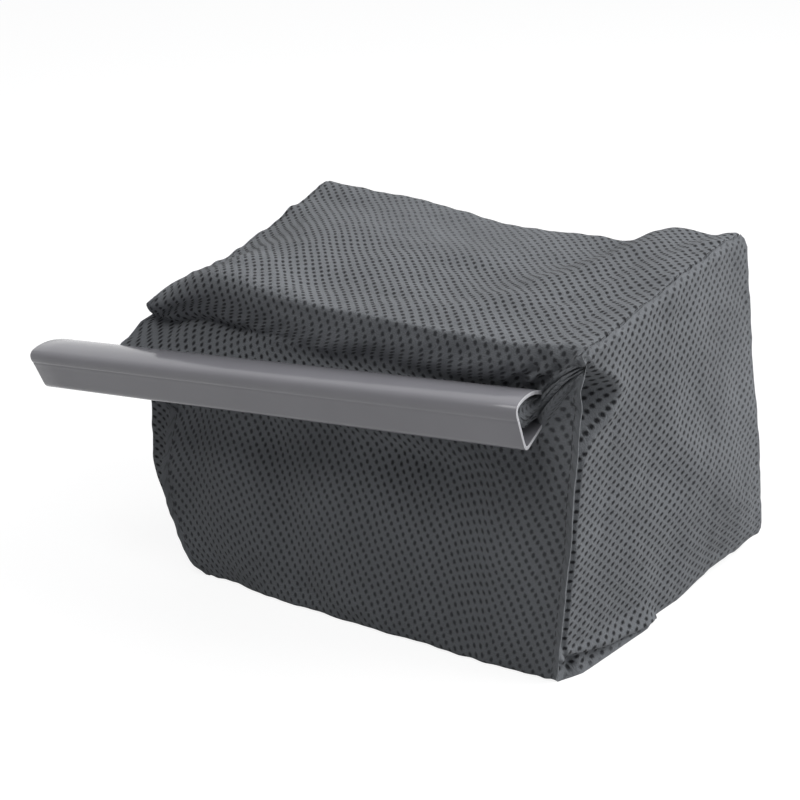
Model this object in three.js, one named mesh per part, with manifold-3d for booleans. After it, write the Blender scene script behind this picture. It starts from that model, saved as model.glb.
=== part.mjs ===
// Reusable vacuum dust bag. A boxed bag of nonwoven cloth is open along its upper front
// edge; both lips of that mouth are folded together and gripped by a slide-on plastic rail.
// A stiff collar with a rubber seal takes the suction pipe on the back.
// Millimetres. X runs along the rail, Y from the front to the back, Z is up.

import * as THREE from 'three';
import { mergeVertices } from 'three/addons/utils/BufferGeometryUtils.js';
import Module from 'manifold-3d';

// The bag as it is cut and sewn
const BAG_WIDTH = 192;
const BAG_DEPTH = 146;
const BAG_HEIGHT = 140;
const CLOTH = 1.6;
const EDGE_RADIUS = 4;
const SEAM_LIP = 1.8;
const SEAM_GAP = 0.6;

// The right side as it stands: it flares to the back, its front edge leans out, and its
// lower back corner lifts off the ground
const FLARE_TOP = 17;
const FLARE_BOTTOM = 38;
const FLARE_BLEND = 3;
const EDGE_LEAN = 4.4;
const SIDE_DIMPLE = 7;
const DIMPLE_BACK = 13;
const DIMPLE_DEPTH_REACH = 8;
const DIMPLE_HEIGHT_REACH = 15;
const HEEL_LIFT = 6;
const HEEL_LENGTH = 70;
const HEEL_HEIGHT = 30;

// The left side as it stands: its lower front corner is tucked in, and so is its front seam
const LEFT_TUCK = 24;
const LEFT_TUCK_HEIGHT = 60;
const LEFT_SEAM_INSET = 11;
const LEFT_SEAM_REACH = 8;
const LEFT_SEAM_START = 15;
const LEFT_BULGE = 3;

// The top as it stands: it sags between its edges, stands up in a crest along its right
// edge and falls away along its left one, most at the front corner
const FRONT_SAG = 2.5;
const TOP_SAG = 7;
const SAG_INSET = 36;
const SAG_WIDTH = 70;
const TOP_CREST = 7;
const CREST_WIDTH = 47;
const CREST_SLOPE = 24;
const LEFT_DROP = 12;
const LEFT_DROP_WIDTH = 30;
const LEFT_DROP_FRONT = 50;
const LEFT_DROP_BACK = 8;
const CORNER_DROP = 8;
const CORNER_REACH = 16;

// The mouth
const MOUTH_BELOW_TOP = 25.5;
const MOUTH_SLIP = 12;
const MOUTH_SKEW = 4;
const PULL_ABOVE = 7;
const PULL_BELOW = 9;
const PULL_BACK = 14;
const CREASE_DEPTH = 6;
const CREASE_LEAST = 2;
const CREASE_HEIGHT = 11;
const UPPER_LIP_BACK = 3;
const UPPER_LIP_HEIGHT = 7;
const LOWER_LIP_DROP = 22;
const RIDGE_OVERHANG = 2;
const RUFFLE_DEPTH = 2.2;
const RUFFLE_PITCH = 9;
const RUFFLE_WIDTH = 30;
const RUFFLE_HEIGHT = 12;
const RUFFLE_BACK = 20;
const HEM_THICKNESS = 5;

// The gathers that run from the rail's right end up to the corner of the bag
const GATHER_LENGTH = 11;
const GATHER_DEPTH = 6;
const GATHER_BELOW_TOP = 10.5;
const GATHER_HEIGHT = 6;

// The closing rail
const RAIL_LENGTH = 220;
const RAIL_DEPTH = 27;
const RAIL_HEIGHT = 20;
const RAIL_WALL = 1.3;
const RAIL_LEAN = 8;
const RAIL_OPENING = 11;
const RAIL_LIP_BACK = 2.6;
const RAIL_LIP_DROP = 3;
const RAIL_CORNER = 3;
const RAIL_ARCH = 1.3;
const RAIL_FIT = 0.5;
const HEM_END_INSET = 1;

// The inlet on the back
const INLET_HEIGHT = 70;
const COLLAR_WIDTH = 108;
const COLLAR_HEIGHT = 96;
const COLLAR_THICKNESS = 2.6;
const COLLAR_CORNER = 10;
const COLLAR_HOLE = 52;
const CLOTH_HOLE = 60;
const SEAL_HOLE = 44;
const SEAL_WIDTH = 11;
const SEAL_THICKNESS = 1.2;
const SEAL_LIP = 2;
const RING_WIDTH = 10;
const RING_THICKNESS = 2;
const INLET_GAP = 0.3;

// Facet sizes
const CLOTH_PITCH = 12;
const RUFFLE_STEP = 4;
const ROUND_STEPS = 48;

const halfWidth = BAG_WIDTH / 2;
const mouthHeight = BAG_HEIGHT - MOUTH_BELOW_TOP;
const stripEnd = halfWidth - CLOTH - SEAM_GAP;
const { lerp } = THREE.MathUtils;

const wasm = await Module();
wasm.setup();

const clamp = (value) => Math.min(Math.max(value, 0), 1);
const ease = (value) => clamp(value) ** 2 * (3 - 2 * clamp(value));
const bell = (value) => Math.exp(-value * value);

// Smaller of two values with a rounded change from one to the other
function softMin(a, b, blend) {
  const gap = clamp(0.5 + (b - a) / (2 * blend));
  return b + (a - b) * gap - blend * gap * (1 - gap);
}

// 1 along the mouth, falling to 0 soon above it and more slowly below it and to the back
function nearMouth(y, z) {
  const above = Math.max(z - mouthHeight - RAIL_OPENING / 2, 0);
  const below = Math.max(mouthHeight - RAIL_OPENING - z, 0);
  const behind = Math.max(y - CREASE_DEPTH, 0);
  return bell(above / PULL_ABOVE) * bell(below / PULL_BELOW) * bell(behind / PULL_BACK);
}

// 0 where the rail grips the mouth, rising to 1 at the right end of the cloth strip
function gathered(across) {
  return clamp((across - stripEnd + GATHER_LENGTH) / GATHER_LENGTH);
}

// How far the cloth at a place of the sewn box moves sideways when the bag stands.
// The right panel folds along its diagonal.
function sideways(x, y, z) {
  const right = clamp(0.5 + x / BAG_WIDTH);
  const left = 1 - right;
  const back = clamp(y / BAG_DEPTH);
  const down = 1 - z / BAG_HEIGHT;
  const lowerFlap = FLARE_BOTTOM * back;
  const upperFlap = FLARE_TOP * back + (FLARE_BOTTOM - FLARE_TOP) * down;
  const flare = right * softMin(lowerFlap, upperFlap, FLARE_BLEND);
  const lean = EDGE_LEAN * right ** 6 * (1 - back) ** 3 * clamp(z / BAG_HEIGHT);
  const dimple = SIDE_DIMPLE * right ** 8 * bell((y - DIMPLE_BACK) / DIMPLE_DEPTH_REACH)
    * bell((z - mouthHeight) / DIMPLE_HEIGHT_REACH);
  const tuck = LEFT_TUCK * left ** 3 * clamp(1 - z / LEFT_TUCK_HEIGHT) ** 2
    * (1 - back / 2);
  const inset = LEFT_SEAM_INSET * left ** 3 * ease(1 - y / LEFT_SEAM_REACH)
    * clamp(z / (mouthHeight - RAIL_HEIGHT) - LEFT_SEAM_START / mouthHeight)
    * ease((2 * (mouthHeight - LOWER_LIP_DROP - z)) / RAIL_HEIGHT);
  const bulge = LEFT_BULGE * left ** 6 * Math.sin(Math.PI * clamp(z / mouthHeight))
    * ease(y / LEFT_SEAM_REACH) * ease(2 - 2 * back);
  const drawn = MOUTH_SLIP * nearMouth(y, z) * (1 - right ** 10);
  return flare + lean - dimple + tuck + inset - bulge - drawn;
}

// How far it moves up
function upwards(x, y, z) {
  const fromLeft = x + halfWidth;
  const fromRight = halfWidth - x;
  const back = clamp(y / BAG_DEPTH);
  const crest = ease((CREST_WIDTH - fromRight) / CREST_SLOPE);
  const sagging = ease((fromLeft - SAG_INSET) / SAG_WIDTH) * (1 - crest);
  const atFront = -FRONT_SAG * ease((2 * (fromLeft - SAG_INSET)) / SAG_WIDTH)
    * ease((2 * fromRight) / CREST_WIDTH);
  const atBack = TOP_CREST * crest - TOP_SAG * sagging;
  const edgeDrop = LEFT_DROP * ease(1 - fromLeft / LEFT_DROP_WIDTH)
    * ease((BAG_DEPTH - LEFT_DROP_BACK - y) / (BAG_DEPTH - LEFT_DROP_BACK - LEFT_DROP_FRONT));
  const cornerDrop = CORNER_DROP * bell(fromLeft / CORNER_REACH) * bell(y / CORNER_REACH);
  const topMove = lerp(atFront, atBack, ease(back)) - edgeDrop - cornerDrop;
  const heel = HEEL_LIFT * clamp(1 - fromRight / BAG_WIDTH) ** 6
    * ease((y + HEEL_LENGTH - BAG_DEPTH) / (HEEL_LENGTH / 2)) * clamp(1 - z / HEEL_HEIGHT);
  return (z / BAG_HEIGHT) * topMove + heel;
}

// The sewn box turned into the standing bag
function stand(x, y, z) {
  return new THREE.Vector3(x + sideways(x, y, z), y, z + upwards(x, y, z));
}

// The rail lies along the mouth, and so follows the drop of its left end
const mouthLeft = stand(-halfWidth, 0, mouthHeight);
const mouthRight = new THREE.Vector3(halfWidth - MOUTH_SLIP, MOUTH_SKEW, mouthHeight);
const railAxis = mouthRight.clone().sub(mouthLeft).normalize();
const railBack = new THREE.Vector3(0, 0, 1).cross(railAxis).normalize();
const railUp = railAxis.clone().cross(railBack);
const mouthInRail = new THREE.Vector2(RAIL_DEPTH, -RAIL_LIP_DROP - RAIL_OPENING / 2);
const hemStart = RAIL_LENGTH - HEM_END_INSET - BAG_WIDTH;
const railOrigin = mouthLeft.clone()
  .addScaledVector(railAxis, -hemStart)
  .addScaledVector(railBack, -mouthInRail.x)
  .addScaledVector(railUp, -mouthInRail.y);

// A place in the rail: along its length, back from its nose and up from its nose
function inRail(along, back, up) {
  return railOrigin.clone()
    .addScaledVector(railAxis, along)
    .addScaledVector(railBack, back)
    .addScaledVector(railUp, up);
}

// Points of an open line moved sideways, to the left of its direction when positive
function offsetLine(points, distance) {
  return points.map((point, i) => {
    const before = points[Math.max(i - 1, 0)];
    const after = points[Math.min(i + 1, points.length - 1)];
    const into = point.clone().sub(before);
    const out = after.clone().sub(point);
    const first = into.lengthSq() > 0 ? into.normalize() : out.clone().normalize();
    const second = out.lengthSq() > 0 ? out.normalize() : first;
    const normal = new THREE.Vector2(-first.y - second.y, first.x + second.x).normalize();
    const mitre = Math.max(normal.x * -first.y + normal.y * first.x, 0.5);
    return point.clone().addScaledVector(normal, distance / mitre);
  });
}

// A line through corners, each rounded and each straight run cut into equal steps
function roundedLine(corners, radius, runSteps) {
  const points = [corners[0].clone()];
  for (let i = 1; i < corners.length; i += 1) {
    const last = i === corners.length - 1;
    const from = corners[i - 1];
    const to = corners[i];
    const way = to.clone().sub(from);
    const room = Math.min(radius, way.length() * 0.45);
    const start = points[points.length - 1];
    const end = last ? to.clone() : to.clone().addScaledVector(way.normalize(), -room);
    for (let step = 1; step <= runSteps[i - 1]; step += 1) {
      points.push(start.clone().lerp(end, step / runSteps[i - 1]));
    }
    if (last) break;
    const onward = corners[i + 1].clone().sub(to);
    const exit = Math.min(radius, onward.length() * 0.45);
    const leave = to.clone().addScaledVector(onward.normalize(), exit);
    const bend = new THREE.QuadraticBezierCurve(end, to, leave);
    points.push(...bend.getPoints(3).slice(1));
  }
  return points;
}

// Corners of the rail's section, on the middle of its wall, from the upper lip round the
// nose and the heel to the tip of the lower jaw
function railCorners() {
  const half = RAIL_WALL / 2;
  return {
    lip: new THREE.Vector2(RAIL_DEPTH - RAIL_LIP_BACK, -RAIL_LIP_DROP),
    crown: new THREE.Vector2(RAIL_DEPTH * 0.35, RAIL_ARCH / 4),
    nose: new THREE.Vector2(half, -half),
    heel: new THREE.Vector2(RAIL_LEAN, half - RAIL_HEIGHT),
    jaw: new THREE.Vector2(RAIL_DEPTH - half, -RAIL_LIP_DROP - RAIL_OPENING - half),
  };
}

// The rail's wall: an arched top, a leaning face and a lower jaw, with round corners
function railCentreLine() {
  const { lip, nose, heel, jaw } = railCorners();
  const overNose = new THREE.Vector2(RAIL_DEPTH * 0.3, RAIL_ARCH);
  const towards = (from, to) => from.clone()
    .addScaledVector(to.clone().sub(from).normalize(), RAIL_CORNER);
  const noseTop = towards(nose, overNose);
  const underLip = new THREE.Vector2(RAIL_DEPTH * 0.62, RAIL_ARCH * 0.7);
  const arch = new THREE.CubicBezierCurve(lip, underLip, overNose, noseTop);
  const noseBend = new THREE.QuadraticBezierCurve(noseTop, nose, towards(nose, heel));
  const heelBend = new THREE.QuadraticBezierCurve(towards(heel, nose), heel, towards(heel, jaw));
  return [
    ...arch.getPoints(10),
    ...noseBend.getPoints(4).slice(1),
    ...heelBend.getPoints(4),
    jaw,
  ];
}

// The folded hem inside the rail: a hook of cloth that lies against the rail's walls
function hemSides() {
  const { lip, crown, nose, heel, jaw } = railCorners();
  const hook = heel.clone().lerp(jaw, 0.5);
  const side = (depth) => offsetLine([lip, crown, nose, heel, hook], RAIL_WALL / 2 + depth);
  const against = side(RAIL_FIT);
  const inner = side(RAIL_FIT + HEM_THICKNESS);
  inner[0] = against[0].clone().lerp(inner[0], 1.1).add(new THREE.Vector2(-RAIL_CORNER, 0));
  return {
    against: roundedLine(against, RAIL_CORNER, [3, 2, 2, 2]),
    inner: roundedLine(inner, RAIL_CORNER / 3, [1, 1, 1, 1]),
  };
}

// Corners of the cloth round the bag, in the plane across the rail, from the lip above
// the mouth over the top, the back and the bottom to the lip below it
function ringCorners(across) {
  const left = clamp(0.5 - across / BAG_WIDTH);
  const gather = gathered(across);
  const crease = CREASE_LEAST + CREASE_DEPTH * ease(left * 1.5 - 0.3);
  const end = BAG_HEIGHT - GATHER_BELOW_TOP;
  const rising = (height, above) => lerp(height, end + above, gather);
  return [
    new THREE.Vector2(lerp(UPPER_LIP_BACK, CLOTH, gather),
      rising(mouthHeight + UPPER_LIP_HEIGHT, GATHER_HEIGHT / 2 + RAIL_FIT)),
    new THREE.Vector2(lerp(crease, CLOTH / 2, gather),
      rising(mouthHeight + CREASE_HEIGHT, (GATHER_HEIGHT + GATHER_BELOW_TOP) / 2)),
    new THREE.Vector2(-RIDGE_OVERHANG, BAG_HEIGHT),
    new THREE.Vector2(BAG_DEPTH, BAG_HEIGHT),
    new THREE.Vector2(BAG_DEPTH, 0),
    new THREE.Vector2(0, 0),
    new THREE.Vector2(0, rising(mouthHeight - LOWER_LIP_DROP, -GATHER_HEIGHT / 2 - RAIL_FIT)),
  ];
}

const ringSteps = [1, 1, BAG_DEPTH, BAG_HEIGHT, BAG_DEPTH, mouthHeight]
  .map((length) => Math.max(Math.round(length / CLOTH_PITCH), 1));

// Ruffles where the cloth runs from the rail's right end up to the bag's corner
function ruffle(x, z) {
  const near = ease((2 * (x - halfWidth + RUFFLE_WIDTH)) / RUFFLE_WIDTH)
    * bell((z - mouthHeight - RUFFLE_HEIGHT) / RUFFLE_HEIGHT);
  return RUFFLE_DEPTH * near * Math.sin((2 * Math.PI * (x + 0.7 * z)) / RUFFLE_PITCH);
}

// A point of the ring, which is pressed in behind the rail and ruffled at its right end
function onRing(across, point) {
  const pressed = MOUTH_SKEW * nearMouth(point.x, point.y)
    * clamp(0.5 + across / BAG_WIDTH) * (1 - gathered(across));
  const ruffled = ruffle(across, point.y) * ease(1 - point.x / RUFFLE_BACK);
  return stand(across, point.x + pressed - ruffled, point.y);
}

// A point of the hem at a share of the strip's width. Right of the rail's end the hem is
// gathered up, so that it lies smaller and smaller towards the corner it ends in.
function onHem(share, back, up) {
  const from = hemStart + CLOTH + SEAM_GAP;
  const railEnd = RAIL_LENGTH - HEM_END_INSET;
  const across = lerp(-stripEnd, stripEnd, share);
  const held = clamp((across + stripEnd) / (2 * stripEnd - GATHER_LENGTH));
  const gather = gathered(across);
  const place = inRail(lerp(from, railEnd, held), back, up);
  if (gather === 0) return place;
  const lips = RAIL_DEPTH + CLOTH;
  const flat = new THREE.Vector2(
    CLOTH + ((back - lips) * GATHER_DEPTH) / RAIL_DEPTH,
    BAG_HEIGHT - GATHER_BELOW_TOP + ((up - mouthInRail.y) * GATHER_HEIGHT) / RAIL_HEIGHT);
  const end = onRing(stripEnd, flat);
  place.x = lerp(place.x, end.x, gather);
  place.y = lerp(place.y, end.y, ease(gather));
  place.z = lerp(place.z, end.z, ease(gather));
  return place;
}

// One section of the cloth strip. The ring and its inside face each other point by point;
// hem and throat are the outer and inner lines that join their ends through the mouth.
function stripSection(share, hem) {
  const across = lerp(-stripEnd, stripEnd, share);
  const ring = roundedLine(ringCorners(across), EDGE_RADIUS, ringSteps);
  const neck = (back, up) => onHem(share, back, up);
  const upper = -RAIL_LIP_DROP - RAIL_WALL / 2 - RAIL_FIT;
  const lower = -RAIL_LIP_DROP - RAIL_OPENING + RAIL_FIT;
  const under = lower - 2 * CLOTH;
  return {
    ring: ring.map((point) => onRing(across, point)),
    inside: offsetLine(ring, -CLOTH).map((point) => onRing(across, point)),
    hem: [
      neck(RAIL_DEPTH + CLOTH, under),
      neck(RAIL_DEPTH + CLOTH / 2, lower - CLOTH / 2),
      neck(RAIL_DEPTH - CLOTH, lower),
      neck(RAIL_DEPTH - RAIL_LEAN, lower + CLOTH),
      ...hem.inner.map((point) => neck(point.x, point.y)),
      ...hem.against.map((point) => neck(point.x, point.y)).reverse(),
      neck(RAIL_DEPTH, upper),
    ],
    throat: [
      neck(RAIL_DEPTH + 2 * CLOTH, under),
      neck(RAIL_DEPTH + 2 * CLOTH, lower - RAIL_FIT),
      neck(RAIL_DEPTH + 2 * CLOTH, (upper + lower) / 2),
    ],
  };
}

// Triangles of a simple outline, which turn the way the outline runs
function fillOutline(points, indices) {
  const flat = points.map((point) => new THREE.Vector2(point.y, point.z));
  const triangles = THREE.ShapeUtils.triangulateShape(flat, []);
  const area = triangles.reduce((sum, corners) => (
    sum + THREE.ShapeUtils.area(corners.map((corner) => flat[corner]))), 0);
  const sameTurn = Math.sign(area) === Math.sign(THREE.ShapeUtils.area(flat));
  return triangles.map(([a, b, c]) => (
    (sameTurn ? [a, b, c] : [c, b, a]).map((corner) => indices[corner])));
}

// Closed skin through a row of strip sections, with a cap at each end
function loft(sections) {
  const first = sections[0];
  const count = first.ring.length;
  const outline = count + first.hem.length;
  const stride = outline + count + first.throat.length;
  const rows = sections.map(({ ring, hem, inside, throat }) => (
    [...ring, ...hem, ...inside, ...throat]));
  const faces = [];
  const wall = (from, to, turned) => {
    for (let row = 0; row < rows.length - 1; row += 1) {
      for (let i = from; i < to; i += 1) {
        const a = row * stride + i;
        const b = row * stride + (i + 1 < to ? i + 1 : from);
        const [p, q] = turned ? [b, a] : [a, b];
        faces.push(p, q, q + stride, p, q + stride, p + stride);
      }
    }
  };
  wall(0, outline, false);
  wall(outline, stride, true);
  const mouth = [
    ...first.hem.map((_, i) => count + i),
    0,
    outline,
    ...first.throat.map((_, i) => outline + count + i).reverse(),
    outline + count - 1,
    count - 1,
  ];
  for (const row of [0, rows.length - 1]) {
    const caps = fillOutline(mouth.map((i) => rows[row][i]), mouth);
    for (let i = 0; i < count - 1; i += 1) {
      caps.push([i, i + 1, outline + i + 1], [i, outline + i + 1, outline + i]);
    }
    for (const [a, b, c] of caps) {
      const face = row === 0 ? [c, b, a] : [a, b, c];
      faces.push(...face.map((corner) => corner + row * stride));
    }
  }
  const positions = rows.flat().flatMap((point) => point.toArray());
  const geometry = new THREE.BufferGeometry();
  geometry.setAttribute('position', new THREE.Float32BufferAttribute(positions, 3));
  geometry.setIndex(faces);
  return geometry;
}

// Closed geometry as a solid for cutting, turned right side out if it is inside out
function toSolid(geometry) {
  const bare = geometry.clone();
  bare.deleteAttribute('normal');
  bare.deleteAttribute('uv');
  const merged = mergeVertices(bare, 1e-4);
  const vertProperties = new Float32Array(merged.attributes.position.array);
  const triVerts = new Uint32Array(merged.index.array);
  let volume = 0;
  const corner = (i) => new THREE.Vector3().fromArray(vertProperties, triVerts[i] * 3);
  for (let i = 0; i < triVerts.length; i += 3) {
    volume += corner(i).dot(corner(i + 1).cross(corner(i + 2)));
  }
  if (volume < 0) {
    for (let i = 0; i < triVerts.length; i += 3) {
      [triVerts[i], triVerts[i + 1]] = [triVerts[i + 1], triVerts[i]];
    }
  }
  return new wasm.Manifold(new wasm.Mesh({ numProp: 3, vertProperties, triVerts }));
}

function toGeometry(solid) {
  const mesh = solid.getMesh();
  const geometry = new THREE.BufferGeometry();
  const positions = new THREE.Float32BufferAttribute(mesh.vertProperties, mesh.numProp);
  geometry.setAttribute('position', positions);
  geometry.setIndex(new THREE.BufferAttribute(mesh.triVerts, 1));
  return geometry;
}

// Where the inlet sits on the standing bag's back
const inletCentre = stand(0, BAG_DEPTH, INLET_HEIGHT);

// Moves a piece drawn in X and Y, and thick along Z, on to the back, facing outwards
function ontoBack(geometry, outFromCloth) {
  geometry.rotateX(-Math.PI / 2);
  geometry.translate(inletCentre.x, inletCentre.y + outFromCloth, inletCentre.z);
  return geometry;
}

// Steps across the strip, closer together where it is ruffled and gathered
function stripShares() {
  const gatherFrom = 1 - GATHER_LENGTH / (2 * stripEnd);
  const ruffleFrom = gatherFrom - (2 * RUFFLE_PITCH) / BAG_WIDTH;
  const shares = [];
  const addSteps = (from, to, pitch) => {
    const steps = Math.max(Math.round(((to - from) * BAG_WIDTH) / pitch), 1);
    for (let i = 0; i < steps; i += 1) shares.push(from + ((to - from) * i) / steps);
  };
  addSteps(0, ruffleFrom, CLOTH_PITCH);
  addSteps(ruffleFrom, gatherFrom, RUFFLE_STEP);
  addSteps(gatherFrom, 1, RUFFLE_STEP);
  return [...shares, 1];
}

function clothStrip() {
  const hem = hemSides();
  const shares = stripShares();
  const body = toSolid(loft(shares.map((share) => stripSection(share, hem))));
  const holeRadius = CLOTH_HOLE / 2;
  const punch = new THREE.CylinderGeometry(holeRadius, holeRadius, 6 * CLOTH, ROUND_STEPS);
  punch.translate(inletCentre.x, inletCentre.y, inletCentre.z);
  return toGeometry(body.subtract(toSolid(punch)));
}

// A side panel: a sheet cut to the strip's section, worked from its rim to its middle.
// Its rim stands out past the front and the back as the pinched seam.
function sidePanel(side) {
  const ring = roundedLine(ringCorners(side * stripEnd), EDGE_RADIUS, ringSteps);
  const gatherMiddle = BAG_HEIGHT - GATHER_BELOW_TOP;
  const gather = [
    new THREE.Vector2(-GATHER_DEPTH / 2, gatherMiddle - GATHER_HEIGHT / 2),
    new THREE.Vector2(-GATHER_DEPTH, gatherMiddle),
    new THREE.Vector2(-GATHER_DEPTH / 2, gatherMiddle + GATHER_HEIGHT / 2),
  ];
  const straight = [
    new THREE.Vector2(0, mouthHeight - RAIL_OPENING + CLOTH / 2),
    new THREE.Vector2(CREASE_LEAST, mouthHeight + RAIL_OPENING / 2),
  ];
  const outline = [...ring, ...(side > 0 ? gather : straight)];
  const inside = offsetLine(outline, -CLOTH);
  const rim = outline.map((point, i) => {
    const outward = point.clone().sub(inside[i]).normalize();
    const lip = SEAM_LIP * outward.x * Math.abs(outward.x) * (1 - nearMouth(point.x, point.y));
    return new THREE.Vector2(point.x + lip, point.y);
  });
  const middle = new THREE.Vector2(BAG_DEPTH / 2, BAG_HEIGHT / 2);
  const shrunk = (share) => inside.map((point) => middle.clone().lerp(point, share));
  const rings = [rim, inside, shrunk(0.8), shrunk(0.55), shrunk(0.28)];
  const count = outline.length;
  const sheet = [side * halfWidth, side * (halfWidth - CLOTH)];
  const positions = [];
  const faces = [];
  for (const x of sheet) {
    for (const point of [...rings.flat(), middle]) {
      positions.push(...onRing(x, point).toArray());
    }
  }
  const perFace = rings.length * count + 1;
  for (let i = 0; i < count; i += 1) {
    const next = (i + 1) % count;
    faces.push(i, next, perFace + next, i, perFace + next, perFace + i);
    for (const base of [0, perFace]) {
      const triangles = [];
      for (let ring = 0; ring < rings.length - 1; ring += 1) {
        const a = base + ring * count;
        triangles.push([a + i, a + count + i, a + count + next]);
        triangles.push([a + i, a + count + next, a + next]);
      }
      const innermost = base + (rings.length - 1) * count;
      triangles.push([innermost + i, base + perFace - 1, innermost + next]);
      for (const [a, b, c] of triangles) faces.push(...(base === 0 ? [a, b, c] : [c, b, a]));
    }
  }
  const geometry = new THREE.BufferGeometry();
  geometry.setAttribute('position', new THREE.Float32BufferAttribute(positions, 3));
  geometry.setIndex(faces);
  return toGeometry(toSolid(geometry));
}

function closingRail() {
  const line = railCentreLine();
  const outer = offsetLine(line, -RAIL_WALL / 2);
  const inner = offsetLine(line, RAIL_WALL / 2);
  const section = new THREE.Shape([...outer, ...inner.reverse()]);
  const rail = new THREE.ExtrudeGeometry(section, { depth: RAIL_LENGTH, bevelEnabled: false });
  const axes = new THREE.Matrix4().makeBasis(railBack, railUp, railAxis);
  rail.applyMatrix4(axes.setPosition(railOrigin));
  return rail;
}

function roundedPlate(width, height, radius) {
  const x = width / 2;
  const y = height / 2;
  const plate = new THREE.Shape();
  plate.moveTo(-x + radius, -y);
  plate.lineTo(x - radius, -y);
  plate.absarc(x - radius, -y + radius, radius, -Math.PI / 2, 0);
  plate.lineTo(x, y - radius);
  plate.absarc(x - radius, y - radius, radius, 0, Math.PI / 2);
  plate.lineTo(-x + radius, y);
  plate.absarc(-x + radius, y - radius, radius, Math.PI / 2, Math.PI);
  plate.lineTo(-x, -y + radius);
  plate.absarc(-x + radius, -y + radius, radius, Math.PI, 1.5 * Math.PI);
  return plate;
}

// The collar plate, with a recess on the cloth side that holds the seal
function inletCollar() {
  const shape = roundedPlate(COLLAR_WIDTH, COLLAR_HEIGHT, COLLAR_CORNER);
  const flat = { depth: COLLAR_THICKNESS, bevelEnabled: false, curveSegments: 8 };
  const plate = new THREE.ExtrudeGeometry(shape, flat);
  plate.translate(0, 0, -COLLAR_THICKNESS);
  const hole = new THREE.CylinderGeometry(
    COLLAR_HOLE / 2, COLLAR_HOLE / 2, 4 * COLLAR_THICKNESS, ROUND_STEPS);
  hole.rotateX(Math.PI / 2);
  const recessDepth = SEAL_THICKNESS + INLET_GAP;
  const recessRadius = SEAL_HOLE / 2 + SEAL_WIDTH + INLET_GAP;
  const recess = new THREE.CylinderGeometry(
    recessRadius, recessRadius, 2 * recessDepth, ROUND_STEPS);
  recess.rotateX(Math.PI / 2);
  const solid = toSolid(plate).subtract(toSolid(hole)).subtract(toSolid(recess));
  const collar = toGeometry(solid);
  collar.rotateX(Math.PI);
  return ontoBack(collar, INLET_GAP);
}

// A washer round the inlet's axis: its section is a rectangle turned about that axis
function washer(innerRadius, outerRadius, thickness) {
  const section = [
    new THREE.Vector2(innerRadius, 0),
    new THREE.Vector2(outerRadius, 0),
    new THREE.Vector2(outerRadius, thickness),
    new THREE.Vector2(innerRadius, thickness),
    new THREE.Vector2(innerRadius, 0),
  ];
  return new THREE.LatheGeometry(section, ROUND_STEPS);
}

function inletSeal() {
  const inner = SEAL_HOLE / 2;
  const bead = Math.min(SEAL_LIP, SEAL_THICKNESS * 2) / 2;
  const section = [
    new THREE.Vector2(inner, -bead),
    new THREE.Vector2(inner + bead, -bead),
    new THREE.Vector2(inner + 2 * bead, 0),
    new THREE.Vector2(inner + SEAL_WIDTH, 0),
    new THREE.Vector2(inner + SEAL_WIDTH, SEAL_THICKNESS),
    new THREE.Vector2(inner, SEAL_THICKNESS),
    new THREE.Vector2(inner, -bead),
  ];
  const seal = new THREE.LatheGeometry(section, ROUND_STEPS);
  seal.translate(inletCentre.x, inletCentre.y + INLET_GAP, inletCentre.z);
  return seal;
}

function collarBackRing() {
  const inner = CLOTH_HOLE / 2;
  const ring = washer(inner, inner + RING_WIDTH, RING_THICKNESS);
  const inside = inletCentre.y - CLOTH - INLET_GAP - RING_THICKNESS;
  ring.translate(inletCentre.x, inside, inletCentre.z);
  return ring;
}

const cloth = { color: 0x6e7175, roughness: 0.95, metalness: 0 };
const greyPlastic = { color: 0x8d8c93, roughness: 0.4, metalness: 0 };
const rubber = { color: 0x2c2c2e, roughness: 0.7, metalness: 0 };

const pieces = [
  ['cloth_strip', clothStrip(), cloth],
  ['side_panel_right', sidePanel(1), cloth],
  ['side_panel_left', sidePanel(-1), cloth],
  ['closing_rail', closingRail(), greyPlastic],
  ['inlet_collar', inletCollar(), greyPlastic],
  ['inlet_seal', inletSeal(), rubber],
  ['collar_back_ring', collarBackRing(), greyPlastic],
];

const bag = new THREE.Group();
for (const [name, geometry, finish] of pieces) {
  const mesh = new THREE.Mesh(geometry, new THREE.MeshStandardMaterial(finish));
  mesh.name = name;
  bag.add(mesh);
}

// The origin is the middle of the bag's footprint, on what it stands on
const extent = new THREE.Box3().setFromObject(bag);
bag.position.set(
  -(extent.min.x + extent.max.x) / 2,
  -(extent.min.y + extent.max.y) / 2,
  -extent.min.z,
);
bag.updateMatrixWorld(true);

export default bag;
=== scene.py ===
# The looks of a vacuum dust bag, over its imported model. Lengths in the sums are in
# millimetres in the sewn box: X along the rail, Y from the front to the back, Z up.

import math

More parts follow.
